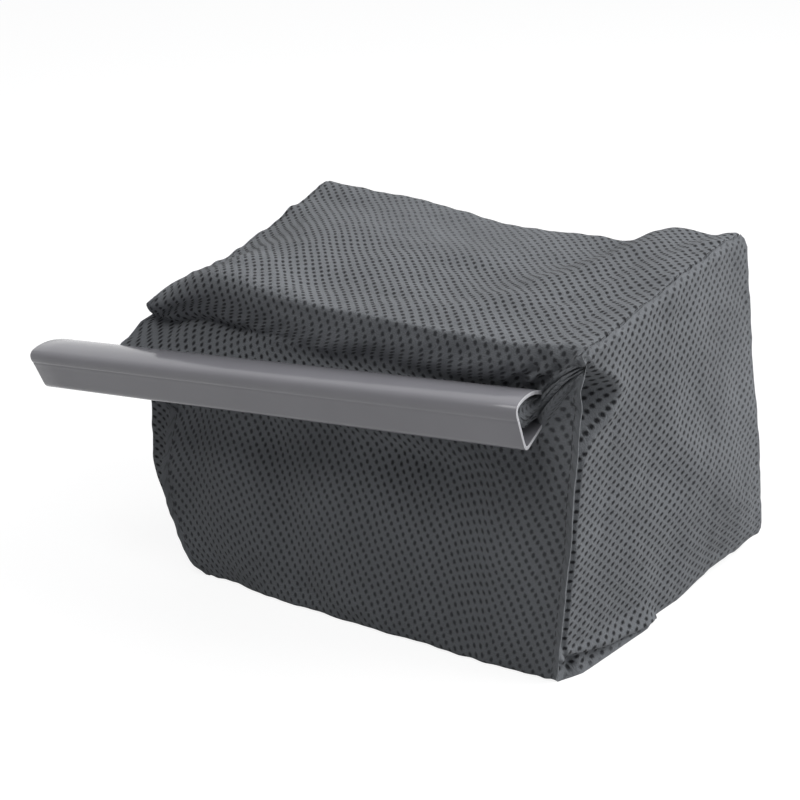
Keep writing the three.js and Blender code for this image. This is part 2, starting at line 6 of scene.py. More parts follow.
import bpy
import numpy as np
from bpy.props import FloatProperty, FloatVectorProperty, PointerProperty
from mathutils import Matrix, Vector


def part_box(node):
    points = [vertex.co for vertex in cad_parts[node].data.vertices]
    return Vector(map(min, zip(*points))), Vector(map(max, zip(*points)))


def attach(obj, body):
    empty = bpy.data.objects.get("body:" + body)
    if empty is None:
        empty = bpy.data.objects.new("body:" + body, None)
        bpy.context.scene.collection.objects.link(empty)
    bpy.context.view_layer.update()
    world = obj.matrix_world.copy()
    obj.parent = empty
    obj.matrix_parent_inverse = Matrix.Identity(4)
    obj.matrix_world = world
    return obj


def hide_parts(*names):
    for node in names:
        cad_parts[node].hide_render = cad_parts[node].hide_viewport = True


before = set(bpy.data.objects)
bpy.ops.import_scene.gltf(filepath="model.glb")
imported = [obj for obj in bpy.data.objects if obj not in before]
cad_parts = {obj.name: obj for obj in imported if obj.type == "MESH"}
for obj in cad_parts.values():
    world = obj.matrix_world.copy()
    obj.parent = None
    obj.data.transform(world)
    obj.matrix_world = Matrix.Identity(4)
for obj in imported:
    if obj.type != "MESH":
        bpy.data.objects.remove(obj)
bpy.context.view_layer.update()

bl_info = {
    "name": "Vacuum Dust Bag",
    "version": (1, 0, 0),
    "blender": (4, 5, 0),
    "location": "3D View > Sidebar > Dust Bag",
    "description": "Builds the cloth, seams, rail and inlet of a vacuum dust bag",
    "category": "Object",
}

# The sewn box, and the half width where the strip's edges lie
WIDTH, DEPTH, HEIGHT = 192.0, 146.0, 140.0
HALF = WIDTH / 2
EDGE = HALF - 0.5

# The mouth: its height, how far the rail draws it left and, at its right end, back, and
# where the gathers start
MOUTH = HEIGHT - 25.5
MOUTH_SLIP = 12.0
MOUTH_SKEW = 4.0
GATHER_FROM = 82.5

# Folds along the bottom
BOTTOM_RADIUS = 2.5
FLAP_DEPTH = 62.0
FLAP_HEIGHT = 11.5

# The rail, and how it lies at its left end: past the bag, above the mouth, and sagging
RAIL_LENGTH, RAIL_DEPTH, RAIL_OPENING = 220.0, 27.0, 11.0
RAIL_OVERHANG = 27.0
RAIL_RISE = 8.5
RAIL_SAG = 3.27

# The inlet: its centre's height, the radius of the cloth's hole, and the collar's gap
INLET_HEIGHT = 70.0
INLET_HOLE = 29.0
COLLAR_GAP = 0.3


def linear(hex_colour):
    """sRGB hex to a linear colour."""
    parts = [int(hex_colour[i:i + 2], 16) / 255 for i in (0, 2, 4)]
    return tuple(c / 12.92 if c <= 0.04045 else ((c + 0.055) / 1.055) ** 2.4 for c in parts)


def length(name, description, millimetres):
    """A property that holds a length."""
    return FloatProperty(name=name, description=description, default=millimetres / 1000,
                         min=0, unit="LENGTH")


def colour(name, description, hex_colour):
    """A property that holds a colour."""
    return FloatVectorProperty(name=name, description=description, size=3, min=0, max=1,
                               default=linear(hex_colour), subtype="COLOR")


class DustBagSizes(bpy.types.PropertyGroup):
    """Sizes of the rail, the dots and the seams"""

    rail_length: length("Rail length", "Length of the closing rail", RAIL_LENGTH)
    rail_depth: length("Rail depth", "Rail from its nose to its mouth", RAIL_DEPTH)
    rail_height: length("Rail height", "Rail from its top to its heel", 20)
    rail_wall: length("Rail wall", "Wall of the extruded rail", 1.6)
    rail_opening: length("Rail opening", "Gap between the rail's lip and jaw", RAIL_OPENING)
    dot_width: length("Dot width", "Width of an embossed dot", 1.45)
    dot_length: length("Dot length", "Length of an embossed dot", 2.15)
    seam_fin: length("Seam fin", "How far the front seam stands out", 1.5)
    stitch: length("Stitch", "Length of one stitch", 2.6)
    stitch_pitch: length("Stitch pitch", "Distance between stitches", 4)
    thread: length("Thread", "Width of the sewing thread", 0.36)


class DustBagColours(bpy.types.PropertyGroup):
    """Colours of the bag"""

    cloth: colour("Cloth", "Nonwoven between the dots", "808387")
    # The dots' dark colour is partly their melted polypropylene and partly painted shade in
    # their pits
    dot: colour("Dots", "Bottom of an embossed dot", "2b2c2f")
    rail: colour("Rail", "Extruded polypropylene", "95949a")
    rubber: colour("Rubber", "Inlet seal", "2f2f32")
    # Darker than the cloth, partly to paint a shade line along the seams
    thread: colour("Thread", "Sewing thread", "4a4b4e")
    # Pale, as painted light on the rail's ends where light falls on them
    cut: colour("Cut", "Freshly cut end of the rail", "dcdce0")
    floor: colour("Floor", "Studio floor", "c4c4c4")


def size(name):
    """A size in millimetres."""
    return getattr(bpy.context.scene.dust_bag_sizes, name) * 1000


def tint(name):
    """A colour with its alpha."""
    return (*getattr(bpy.context.scene.dust_bag_colours, name), 1.0)


# Shape of the standing bag

def clamp(value):
    """Value kept between 0 and 1."""
    return np.clip(value, 0.0, 1.0)


def ease(value):
    """0 below 0 and 1 above 1, with a smooth step between."""
    value = clamp(value)
    return value * value * (3 - 2 * value)


def bell(value):
    """1 at 0, falling smoothly to both sides."""
    return np.exp(-np.square(value))


def soft_min(a, b, blend):
    """The lesser of two, rounded where they are alike."""
    gap = clamp(0.5 + (b - a) / (2 * blend))
    return b + (a - b) * gap - blend * gap * (1 - gap)


def looked_up(value, pairs):
    """The second number of the pairs where their first is value, or between them."""
    return np.interp(value, [pair[0] for pair in pairs], [pair[1] for pair in pairs])


def ripple(x, y, seed, wavelength):
    """Smooth random height between about -1 and 1."""
    count = 14
    rng = np.random.default_rng(seed)
    total = np.zeros(np.broadcast(x, y).shape)
    for _ in range(count):
        angle = rng.uniform(0, math.tau)
        pitch = wavelength * rng.uniform(0.7, 1.6)
        phase = rng.uniform(0, math.tau)
        wave = (x * math.cos(angle) + y * math.sin(angle)) * math.tau / pitch
        total = total + np.sin(wave + phase)
    return total / math.sqrt(count)


def near_mouth(y, z):
    """1 at the mouth, falling to 0 away from it."""
    above = np.maximum(z - MOUTH - RAIL_OPENING / 2, 0)
    below = np.maximum(MOUTH - RAIL_OPENING - z, 0)
    behind = np.maximum(y - 6, 0)
    return bell(above / 7) * bell(below / 9) * bell(behind / 14)


def sideways(x, y, z):
    """How far the cloth of the sewn box moves sideways as the bag stands."""
    right = clamp(0.5 + x / WIDTH)
    left = 1 - right
    back = clamp(y / DEPTH)
    down = 1 - z / HEIGHT
    flare = right * soft_min(38 * back, 17 * back + 21 * down + 21 * (back - back ** 1.25), 2)
    lean = 4.4 * right ** 6 * (1 - back) ** 3 * clamp(z / 133)
    tuck = 24 * left ** 3 * clamp(1 - z / 60) ** 2 * (1 - back / 2)
    inset = (12 * left ** 3 * ease(1 - (y - 0.8) / 3.4) * clamp((z - 15) / 70) ** 1.3
             * ease((MOUTH - 18 - z) / 8))
    bulge = (4.6 * left ** 6 * np.sin(math.pi * clamp(z / MOUTH)) * ease(y / 4.5)
             * ease(2 - 2 * back))
    flap = (4.4 * right ** 20 * ease(y / 12) * ease((FLAP_DEPTH + 4 - y) / 14)
            * clamp(1 - z / FLAP_HEIGHT))
    lobe = 6 * left ** 30 * bell((z - 131) / 7) * ease(1 - y / 14)
    full = 1.5 * right ** 8 * back ** 2 * bell((z - 45) / 30)
    drawn = MOUTH_SLIP * near_mouth(y, z) * (1 - right ** 10) * ease((HALF - x) / 14)
    return flare + lean + tuck + inset + flap + full - bulge - lobe - drawn


def upwards(x, y, z):
    """How far it moves up: the top sags, with a crest along its right edge."""
    from_left, from_right = x + HALF, HALF - x
    back = clamp(y / DEPTH)
    foot = 45 - 38 * (1 - back) ** 1.6
    crest = ease((x - foot) / 24)
    sagging = ease((from_left - 36) / 70) * (1 - crest)
    at_front = -3.7 * ease((from_left - 36) / 35) * ease(from_right / 30)
    at_back = (5.2 + 0.06 * (from_left - 170)) * crest - 5.6 * sagging
    at_back = at_back + 2.5 * bell((from_left - 5) / 24) * bell((y - 142) / 12)
    edge_drop = 12 * ease(1 - from_left / 32) * ease((DEPTH - 4 - y) / 88)
    corner_drop = 4 * bell(from_left / 9) * bell(y / 9)
    top = at_front + (at_back - at_front) * ease(back * 1.15) - edge_drop - corner_drop
    heel = (6.5 * clamp(1 - from_right / WIDTH) ** 6 * ease((y - 76) / 38)
            * clamp(1 - z / 30))
    return (z / HEIGHT) * top + heel


def stand(x, y, z):
    """Where a point of the sewn box is once the bag stands."""
    x, y, z = np.broadcast_arrays(x, y, z)
    return np.stack([x + sideways(x, y, z), y, z + upwards(x, y, z)], axis=-1)


mouth_left = stand(-HALF, 0.0, MOUTH) - np.array([0, 0, RAIL_SAG])
mouth_right = np.array([HALF - MOUTH_SLIP, MOUTH_SKEW, MOUTH])
rail_left = np.array([-HALF - MOUTH_SLIP, 0, mouth_left[2]])
rail_axis = mouth_right - rail_left
rail_axis = rail_axis / np.linalg.norm(rail_axis)
rail_back = np.cross([0, 0, 1.0], rail_axis)
rail_back = rail_back / np.linalg.norm(rail_back)
rail_up = np.cross(rail_axis, rail_back)
rail_origin = (rail_left - rail_axis * RAIL_OVERHANG - rail_back * RAIL_DEPTH
               + rail_up * RAIL_RISE)

# From the sewn box to the model's own frame, by the inlet collar
collar_low, collar_high = (np.array(corner) * 1000 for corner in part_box("inlet_collar"))
inlet_centre = stand(0.0, DEPTH, INLET_HEIGHT)
SHIFT = np.array([(collar_low[0] + collar_high[0]) / 2 - inlet_centre[0],
                  collar_low[1] - DEPTH - COLLAR_GAP, 0.0])


def in_rail(along, back, up):
    """A point given along the rail, backwards from its nose and up."""
    along, back, up = np.broadcast_arrays(along, back, up)
    return (rail_origin + along[..., None] * rail_axis + back[..., None] * rail_back
            + up[..., None] * rail_up)


def bend(start, corner, end, t):
    """Points of a smooth bend from start to end, drawn towards corner."""
    return start * (1 - t) ** 2 + corner * 2 * t * (1 - t) + end * t * t


BEND_STEPS = 6


def rounded(corners, radii, run_steps):
    """Lines through corners of shape (columns, corners, 2), with a radius at each bend."""
    points = [corners[:, 0]]
    for i in range(1, corners.shape[1]):
        start, end = points[-1], corners[:, i]
        way = end - corners[:, i - 1]
        span = np.linalg.norm(way, axis=1, keepdims=True)
        last = i == corners.shape[1] - 1
        radius = 0 if last else np.reshape(radii[i - 1], (-1, 1))
        stop = end if last else end - way / span * np.minimum(radius, span * 0.45)
        for step in range(1, run_steps[i - 1] + 1):
            points.append(start + (stop - start) * step / run_steps[i - 1])
        if last:
            break
        onward = corners[:, i + 1] - end
        reach = np.linalg.norm(onward, axis=1, keepdims=True)
        leave = end + onward / reach * np.minimum(radius, reach * 0.45)
        for step in range(1, BEND_STEPS + 1):
            points.append(bend(stop, end, leave, step / BEND_STEPS))
    return np.stack(points, axis=1)


def arc_length(points):
    """Length of each line of a grid up to each of its points."""
    steps = np.linalg.norm(np.diff(points, axis=1), axis=-1)
    return np.concatenate([np.zeros((len(points), 1)), np.cumsum(steps, axis=1)], axis=1)


def outward_normals(points, row, column, way):
    """Normals of a grid, turned so that the one at row and column points along way."""
    along = np.gradient(points, axis=1)
    across = np.gradient(points, axis=0)
    normal = np.cross(along, across)
    normal = normal / np.maximum(np.linalg.norm(normal, axis=-1, keepdims=True), 1e-9)
    return -normal if np.dot(normal[row, column], way) < 0 else normal


# Making pieces

def to_frame(points):
    """Points of the standing bag in metres of the model's frame."""
    return (np.asarray(points, float).reshape(-1, 3) + SHIFT) / 1000


def mesh_piece(name, points, faces, material, body, uv=None, lit_dots=None):
    """A smooth piece on its body. Cloth also has its flat places, and its dots faded by painted
    light.
    """
    mesh = bpy.data.meshes.new(name)
    mesh.from_pydata([tuple(p) for p in to_frame(points)], [], faces)
    mesh.update()
    if uv is not None:
        layer = mesh.uv_layers.new(name="cloth")
        corners = np.empty(len(mesh.loops), dtype=np.int32)
        mesh.loops.foreach_get("vertex_index", corners)
        layer.data.foreach_set("uv", (uv.reshape(-1, 2)[corners] / 1000).ravel())
    if lit_dots is not None:
        dot_light = mesh.attributes.new("lit_dots", "FLOAT", "POINT")
        dot_light.data.foreach_set("value", np.asarray(lit_dots, dtype=np.float32).ravel())
    mesh.materials.append(material)
    mesh.polygons.foreach_set("use_smooth", [True] * len(mesh.polygons))
    piece = bpy.data.objects.new(name, mesh)
    bpy.context.scene.collection.objects.link(piece)
    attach(piece, body)
    return piece


def grid_faces(rows, columns, keep=None, closed=False):
    """Faces of a grid's kept cells. A closed grid joins the two ends of each row."""
    faces = []
    for i in range(rows - 1):
        for j in range(columns if closed else columns - 1):
            if keep is not None and not keep[i, j]:
                continue
            k = (j + 1) % columns
            faces.append((i * columns + j, i * columns + k,
                          (i + 1) * columns + k, (i + 1) * columns + j))
    return faces


def tubes(lines, radius):
    """Points and faces of round threads along lines of points, thinner at their ends."""
    sides = 6
    points, faces = [], []
    for line in lines:
        line = np.asarray(line, float)
        way = np.gradient(line, axis=0)
        way /= np.maximum(np.linalg.norm(way, axis=1, keepdims=True), 1e-9)
        side = np.cross(way, [0.31, 0.52, 0.8])
        side /= np.linalg.norm(side, axis=1, keepdims=True)
        other = np.cross(way, side)
        base = len(points)
        swell = np.sin(np.linspace(0.12, 0.88, len(line)) * math.pi) ** 0.5
        for i, centre in enumerate(line):
            for k in range(sides):
                a = math.tau * k / sides
                points.append(centre + radius * swell[i] * (side[i] * math.cos(a)
                                                           + other[i] * math.sin(a)))
        for i in range(len(line) - 1):
            for k in range(sides):
                n = (k + 1) % sides
                faces.append((base + i * sides + k, base + i * sides + n,
                              base + (i + 1) * sides + n, base + (i + 1) * sides + k))
        faces.append(tuple(base + k for k in reversed(range(sides))))
        faces.append(tuple(base + (len(line) - 1) * sides + k for k in range(sides)))
    return np.array(points), faces


# Materials

def node(tree, kind, settings=None, links=None):
    """Adds a node with its settings, and links (input, from node, output)."""
    made = tree.nodes.new(kind)
    for key, value in (settings or {}).items():
        if isinstance(key, int) or key in made.inputs and not hasattr(made, key):
            made.inputs[key].default_value = value
        else:
            setattr(made, key, value)
    for into, source, output in links or []:
        tree.links.new(source.outputs[output], made.inputs[into])
    return made


def new_material(name):
    """A material, its nodes and its shader."""
    material = bpy.data.materials.new(name)
    material.use_nodes = True
    tree = material.node_tree
    shader = tree.nodes["Principled BSDF"]
    return material, tree, shader


def maths(tree, operation, a, b=None, c=None):
    """A maths node over numbers or (node, output) pairs."""
    made = tree.nodes.new("ShaderNodeMath")
    made.operation = operation
    for i, value in enumerate((a, b, c)):
        if value is None:
            continue
        if isinstance(value, tuple):
            tree.links.new(value[0].outputs[value[1]], made.inputs[i])
        else:
            made.inputs[i].default_value = value
    return (made, 0)


def noise(tree, place, output, scale, detail):
    """A noise over the place that a node gives out."""
    return node(tree, "ShaderNodeTexNoise", {"Scale": scale, "Detail": detail},
                [("Vector", place, output)])


def ranged(tree, source, low, high):
    """The middle of a noise, spread from low to high."""
    return node(tree, "ShaderNodeMapRange", {"From Min": 0.3, "From Max": 0.7,
                                             "To Min": low, "To Max": high},
                [("Value", source, "Fac")])


def base_colour(tree, shader, name, source, low, high):
    """A tint that a noise makes darker and paler."""
    base = node(tree, "ShaderNodeVectorMath", {"operation": "SCALE", 0: tint(name)[:3]},
                [("Scale", ranged(tree, source, low, high), 0)])
    tree.links.new(base.outputs[0], shader.inputs["Base Color"])


def relief(tree, shader, strength, distance, height, output):
    """Fine relief on a material."""
    bump = node(tree, "ShaderNodeBump", {"Strength": strength, "Distance": distance},
                [("Height", height, output)])
    tree.links.new(bump.outputs[0], shader.inputs["Normal"])


# The two steps of the dots' lattice, in millimetres of cloth
DOT_STEPS = ((2.69, 2.52), (1.38, -2.65))


def spunbond_nonwoven():
    """Spunbond polypropylene, calendered between hot rollers: matt and slightly fuzzy,
    with a lattice of small melted dots that lie deeper, darker partly from the melt and
    partly by painted shade in their pits."""
    material, tree, shader = new_material("spunbond_nonwoven")
    uv = node(tree, "ShaderNodeUVMap", {"uv_map": "cloth"})
    wander = noise(tree, uv, "UV", 60.0, 2.0)
    shift = node(tree, "ShaderNodeVectorMath", {"operation": "MULTIPLY_ADD",
                                                1: (0.0009,) * 3, 2: (-0.00045,) * 3},
                 [(0, wander, "Color")])
    warped = node(tree, "ShaderNodeVectorMath", {"operation": "ADD"},
                  [(0, uv, "UV"), (1, shift, 0)])
    parts = node(tree, "ShaderNodeSeparateXYZ", None, [(0, warped, 0)])
    first, second = DOT_STEPS
    spread = first[0] * second[1] - first[1] * second[0]
    cells = []
    # Each row of dots crosses one of the lattice's two steps
    for step_x, step_y in ((second[1], -second[0]), (-first[1], first[0])):
        along = maths(tree, "MULTIPLY", (parts, 0), step_x * 1000 / spread)
        along = maths(tree, "MULTIPLY_ADD", (parts, 1), step_y * 1000 / spread, along)
        cell = maths(tree, "FRACT", along)
        cells.append(maths(tree, "SUBTRACT", cell, 0.5))
    fibre = noise(tree, uv, "UV", 1700.0, 3.0)
    # Place within the dot as a share of its half width and half length
    shares = []
    for k, half in ((0, size("dot_width") * 500), (1, size("dot_length") * 500)):
        part = maths(tree, "MULTIPLY", cells[0], first[k] / half * 1000)
        part = maths(tree, "MULTIPLY_ADD", cells[1], second[k] / half * 1000, part)
        shares.append(maths(tree, "MULTIPLY", part, part))
    far = maths(tree, "SQRT", maths(tree, "ADD", shares[0], shares[1]))
    far = maths(tree, "MULTIPLY_ADD", (fibre, "Fac"), 0.6, far)
    dot = node(tree, "ShaderNodeMapRange", {"interpolation_type": "SMOOTHSTEP",
                                            "From Min": 1.8, "From Max": 0.75,
                                            "To Min": 0.0, "To Max": 1.0})
    tree.links.new(far[0].outputs[0], dot.inputs["Value"])
    # Painted light fades the dots' dark colour by the share that each point carries
    lit_dots = node(tree, "ShaderNodeAttribute", {"attribute_name": "lit_dots"})
    unlit_dot = maths(tree, "MULTIPLY_ADD", (lit_dots, "Fac"), -1.0, 1.0)
    dot = maths(tree, "MULTIPLY", (dot, 0), unlit_dot)
    clouds = noise(tree, uv, "UV", 26.0, 4.0)
    shade = ranged(tree, clouds, 0.9, 1.08)
    fuzz = ranged(tree, fibre, 0.88, 1.12)
    strength = maths(tree, "MULTIPLY", (shade, 0), (fuzz, 0))
    ground = node(tree, "ShaderNodeVectorMath", {"operation": "SCALE", 0: tint("cloth")[:3]},
                  [("Scale", strength[0], 0)])
    # The dark dots are partly their melted colour and partly painted shade in their pits
    mixed = node(tree, "ShaderNodeMix", {"data_type": "RGBA", 7: tint("dot")},
                 [(0, dot[0], 0), (6, ground, 0)])
    tree.links.new(mixed.outputs[2], shader.inputs["Base Color"])
    lift = maths(tree, "MULTIPLY_ADD", dot, -1.0, (fibre, "Fac"))
    relief(tree, shader, 0.85, 0.0005, lift[0], 0)
    shader.inputs["Roughness"].default_value = 0.92
    shader.inputs["Specular IOR Level"].default_value = 0.06
    shader.inputs["Sheen Weight"].default_value = 0.12
    shader.inputs["Sheen Roughness"].default_value = 0.6
    return material


def lit_cut_polypropylene():
    """Sawn end of the rail: rougher than its skin, with painted light making it paler."""
    material, tree, shader = new_material("lit_cut_polypropylene")
    place = node(tree, "ShaderNodeTexCoord")
    marks = noise(tree, place, "Object", 900.0, 2.0)
    base_colour(tree, shader, "cut", marks, 0.92, 1.05)
    shader.inputs["Roughness"].default_value = 0.6
    return material


def extruded_polypropylene():
    """Extruded polypropylene: satin, with faint draw lines along its length."""
    material, tree, shader = new_material("extruded_polypropylene")
    place = node(tree, "ShaderNodeTexCoord")
    stretch = node(tree, "ShaderNodeMapping", {"Scale": (12.0, 900.0, 900.0)},
                   [("Vector", place, "Object")])
    lines = noise(tree, stretch, 0, 1.0, 3.0)
    clouds = noise(tree, place, "Object", 40.0, 3.0)
    base_colour(tree, shader, "rail", clouds, 0.97, 1.03)
    rough = ranged(tree, lines, 0.16, 0.21)
    tree.links.new(rough.outputs[0], shader.inputs["Roughness"])
    relief(tree, shader, 0.12, 0.0001, lines, "Fac")
    shader.inputs["IOR"].default_value = 1.49
    return material


def moulded_rubber():
    """Compression-moulded rubber: dark, matt, with a fine even grain."""
    material, tree, shader = new_material("moulded_rubber")
    place = node(tree, "ShaderNodeTexCoord")
    grain = noise(tree, place, "Object", 1800.0, 2.0)
    base_colour(tree, shader, "rubber", grain, 0.9, 1.1)
    relief(tree, shader, 0.2, 0.0001, grain, "Fac")
    shader.inputs["Roughness"].default_value = 0.65
    return material


def spun_thread_and_seam_shade():
    """Spun polyester thread: matt, with its twist as a fine ripple, and dark enough to paint a
    shade line along the seams.
    """
    material, tree, shader = new_material("spun_thread_and_seam_shade")
    place = node(tree, "ShaderNodeTexCoord")
    twist = noise(tree, place, "Object", 3000.0, 2.0)
    base_colour(tree, shader, "thread", twist, 0.75, 1.2)
    shader.inputs["Roughness"].default_value = 0.85
    return material


def shared_material(maker):
    """The material that a maker makes, made once."""
    found = bpy.data.materials.get(maker.__name__)
    return found or maker()


# The cloth strip

def gather_share(across):
    """0 along the strip, growing to 1 at its right edge, where the hem is gathered."""
    return clamp((across - GATHER_FROM) / (EDGE - GATHER_FROM))


def strip_columns():
    """Where the strip's columns lie across it, finer at both edges."""
    left = np.concatenate([np.arange(0, 4, 0.5), np.arange(4, 10, 1.0)])
    right = np.concatenate([np.arange(0, 5, 0.5), np.arange(5, 18, 0.8)])
    middle = np.linspace(-EDGE + 10, EDGE - 18, 112)
    return np.concatenate([-EDGE + left, middle, (EDGE - right)[::-1]])


# How high the crease over the rail lies above the mouth, as (across, height)
CREASE = [(-96, 12), (-88, 8), (-77, 2), (-50, 2.5), (-18, 8.5), (20, 11), (96, 11)]

# Steps along each straight run of the ring, and the ring's point at the top's front ridge
RING_STEPS = [4, 3, 8, 100, 38, 36, 70]
RIDGE_INDEX = 30


def strip_ring(across):
    """Lines of the cloth round the bag from the upper to the lower lip, (y, z)."""
    left = clamp(0.5 - across / WIDTH)
    g = gather_share(across)
    leftmost = ease((-8 - across) / 50)
    crease = 0.5 + 11 * leftmost
    zeros = np.zeros_like(across)
    above = looked_up(across, CREASE)
    top = MOUTH + above + (HEIGHT - 3 - MOUTH - above) * g
    lip = MOUTH + soft_min(above, 7.0 + zeros, 2) - 5 + (HEIGHT - MOUTH - 7) * g
    low = MOUTH - 22 + (HEIGHT - 8 - MOUTH + 22) * g
    corners = [
        (2 + leftmost - g, lip),
        (crease * (1 - g) + 0.2 * g, top),
        ((crease - 3.5 * leftmost) * (1 - g), top + 2.6 - 1.4 * g),
        (2.5 + 2.5 * g, zeros + HEIGHT),
        (zeros + DEPTH, zeros + HEIGHT),
        (zeros + DEPTH, zeros),
        (zeros, zeros),
        (zeros, low),
    ]
    corners = np.stack([np.stack(pair, axis=-1) for pair in corners], axis=1)
    ridge = 2.2 + 14 * ease((left - 0.62) / 0.3) + 3 * g
    radii = [1.4, 2.5, ridge, 3.0, BOTTOM_RADIUS, BOTTOM_RADIUS]
    return rounded(corners, radii, RING_STEPS)


# The hem in the rail, as (backwards, up): its upper cloth outwards, its lower cloth back in
HEM_UPPER = [(9.5, -9.5), (7.0, -11.5), (4.8, -9.2), (3.6, -6.0), (4.4, -3.6), (7.5, -2.2),
             (11, -1.7), (17, -2.6), (22, -4.0), (25.6, -5.4), (26.4, -4.2), (27, -3.6)]
HEM_LOWER = [(28.5, -12.2), (26.0, -12.2), (22, -12.6), (17, -13.6), (13, -13.2),
             (10.5, -11.4), (9.5, -9.5)]
UPPER_POINTS, LOWER_POINTS = 26, 18

# How far from the rail's left end the hem starts, and from its right end the gathers
HEM_START = 25.5
HEM_SHORT = 3.2


def smooth_line(corners, count):
    """Evenly spaced points on a smooth line near corners."""
    line = np.array(corners, float)
    for _ in range(3):
        cut = np.empty((2 * len(line) - 2, 2))
        cut[0::2] = line[:-1] * 0.75 + line[1:] * 0.25
        cut[1::2] = line[:-1] * 0.25 + line[1:] * 0.75
        line = np.vstack([line[:1], cut, line[-1:]])
    far = arc_length(line[None])[0]
    even = np.linspace(0, far[-1], count)
    return np.stack([np.interp(even, far, line[:, k]) for k in (0, 1)], axis=-1)


def strip_hem(across, line, share):
    """The folded hem in the rail. Right of the rail's end it closes to one wrinkled flap,
    which narrows towards the bag's corner; share is 0 on its lower edge, 1 on its upper."""
    g = gather_share(across)[:, None]
    held = clamp((across + HALF) / (GATHER_FROM + HALF))[:, None]
    shut = ease(g / 0.16)
    lumps = ripple(line[:, 0], line[:, 1], 31, 9)[None, :]
    along = HEM_START + (RAIL_LENGTH - HEM_SHORT - HEM_START) * held + (1.6 + 0.9 * lumps) * shut
    back = line[:, 0][None, :] * (1 - shut) + 26.2 * shut
    mouth_up = -13.6 + 9.6 * share[None, :]
    # Cloth above the mouth lies over the rail's lip at the left
    puffed = 3.2 * clamp(1 - 1.3 * held) * ease((line[:, 0] - 25.4) / 1.2)[None, :]
    up = (line[:, 1][None, :] + puffed * (share > 0.7)) * (1 - shut) + mouth_up * shut
    held_place = in_rail(along, back, up)
    corner = stand(EDGE, 1.0, HEIGHT - 6.5)
    spread = np.stack([0 * share, 0 * share, (share - 0.5) * 3.4], axis=-1)[None]
    onward = clamp((g - 0.1) / 0.9)[..., None]
    place = held_place * (1 - onward) + (corner + spread) * onward
    # Wrinkles fan along the flap, from the rail's end to the corner
    flap = np.sin(math.pi * clamp(g)) ** 0.5 * ease((g - 0.03) / 0.1)
    place[..., 2] += 2.6 * np.sin(math.pi * onward[..., 0])
    wave = np.sin(share[None, :] * 21 + 1.6 * g + 0.6)
    fine = np.sin(share[None, :] * 43 - 6 * g)
    place[..., 1] -= flap * (1.5 * wave + 0.3 * fine + 1.4 + 3.2 * (1 - share[None, :]))
    place[..., 0] += flap * 0.5 * fine
    return place


def strip_surface():
    """The strip's columns, its ring in the sewn box, and the smooth standing cloth."""
    across = strip_columns()
    ring = strip_ring(across)
    x = across[:, None] + np.zeros(ring.shape[:2])
    y, z = ring[..., 0], ring[..., 1]
    g = gather_share(across)[:, None]
    pressed = MOUTH_SKEW * near_mouth(y, z) * clamp(0.5 + x / WIDTH) * (1 - g) ** 2
    surface = stand(x, y + pressed, z)
    # Dust room pushes the front's lower edge forwards
    forwards = 3.2 * ease((x + 80) / 40) * (1 - 0.55 * ease((x - 50) / 46))
    surface[..., 1] -= forwards * bell(z / 20) * ease(1 - y / 16)
    upper = strip_hem(across, smooth_line(HEM_UPPER, UPPER_POINTS),
                      np.linspace(0.5, 1.0, UPPER_POINTS))
    lower = strip_hem(across, smooth_line(HEM_LOWER, LOWER_POINTS),
                      np.linspace(0.0, 0.5, LOWER_POINTS))
    return across, ring, surface, upper, lower


# Soft folds of the front: height, place along the rail, lean and width
FRONT_FOLDS = [(-1.7, -46, 1.0, 10), (1.0, -68, 1 / 3, 9), (-0.9, -82, 0.0, 7),
               (1.1, -18, 1.0, 15), (-1.3, 30, 1.3, 20), (1.0, 72, 0.4, 12)]


def front_folds(x, y, z):
    """Soft folds and the dent of the front below the rail, outwards in millimetres."""
    front = ease(1 - y / 3) * ease(z / 10) * ease((MOUTH - 14 - z) / 18)
    slope = 0.30 * (z - 90)
    fold = sum(height * bell((x - at + lean * slope) / wide)
               for height, at, lean, wide in FRONT_FOLDS)
    dent = 4.0 * bell((x - 5) / 48) * bell((z - 82) / 24)
    return front * (fold - dent + 0.45 * ripple(x, z, 5, 46))


def top_folds(x, y, z):
    """Soft folds of the top and the band above the mouth."""
    top = ease((z - HEIGHT + 4) / 3) * ease(y / 8)
    fold = 0.5 * ripple(x, y, 11, 60) + 0.35 * ripple(x, y, 12, 28)
    fold = fold + 1.5 * bell((x + 30 + 0.9 * (y - 10)) / 9) * ease(1 - y / 45)
    fold = fold - 1.2 * bell((x - 58 - 0.22 * (y - 27)) / 5) * ease((y - 15) / 25)
    fold = fold + 0.9 * bell((x + 52 - 0.55 * y) / 14) * ease((y - 20) / 30)
    band = ease((z - MOUTH - 5) / 4) * ease((HEIGHT - 3 - z) / 5) * ease(1 - y / 14)
    return top * fold + band * 0.8 * ripple(x, z * 1.6, 14, 34)


def ring_marks(ring):
    """Arc length of each point of the ring, and how far it is front, top, back, bottom."""
    far = arc_length(ring)
    y, z = ring[..., 0], ring[..., 1]
    top = ease((z - HEIGHT + 6) / 5)
    bottom = ease((6 - z) / 5)
    back = ease((y - DEPTH + 6) / 5) * (1 - top) * (1 - bottom)
    front = (1 - top) * (1 - bottom) * (1 - back)
    return far, front, top, back, bottom


def seam_height(ring, right):
    """Seam height round the ring: a fin, or a groove below 0."""
    far, front, top, back, bottom = ring_marks(ring)
    fin = size("seam_fin") / math.sqrt(2)
    if right:
        height = fin * front - 0.7 * top + 0.9 * fin * back + 0.3 * fin * bottom
    else:
        height = 1.5 * fin * front - 0.4 * top + 0.6 * fin * back + 0.3 * fin * bottom
        height = height * (1 - front * ease((ring[..., 1] - MOUTH + 12) / 8))
    pucker = 0.10 * ripple(far, 0 * far, 41, 7) + 0.12 * ripple(far, 0 * far, 42, 19)
    return height * (1 + pucker)


UPWARDS = (0, 0, 1)


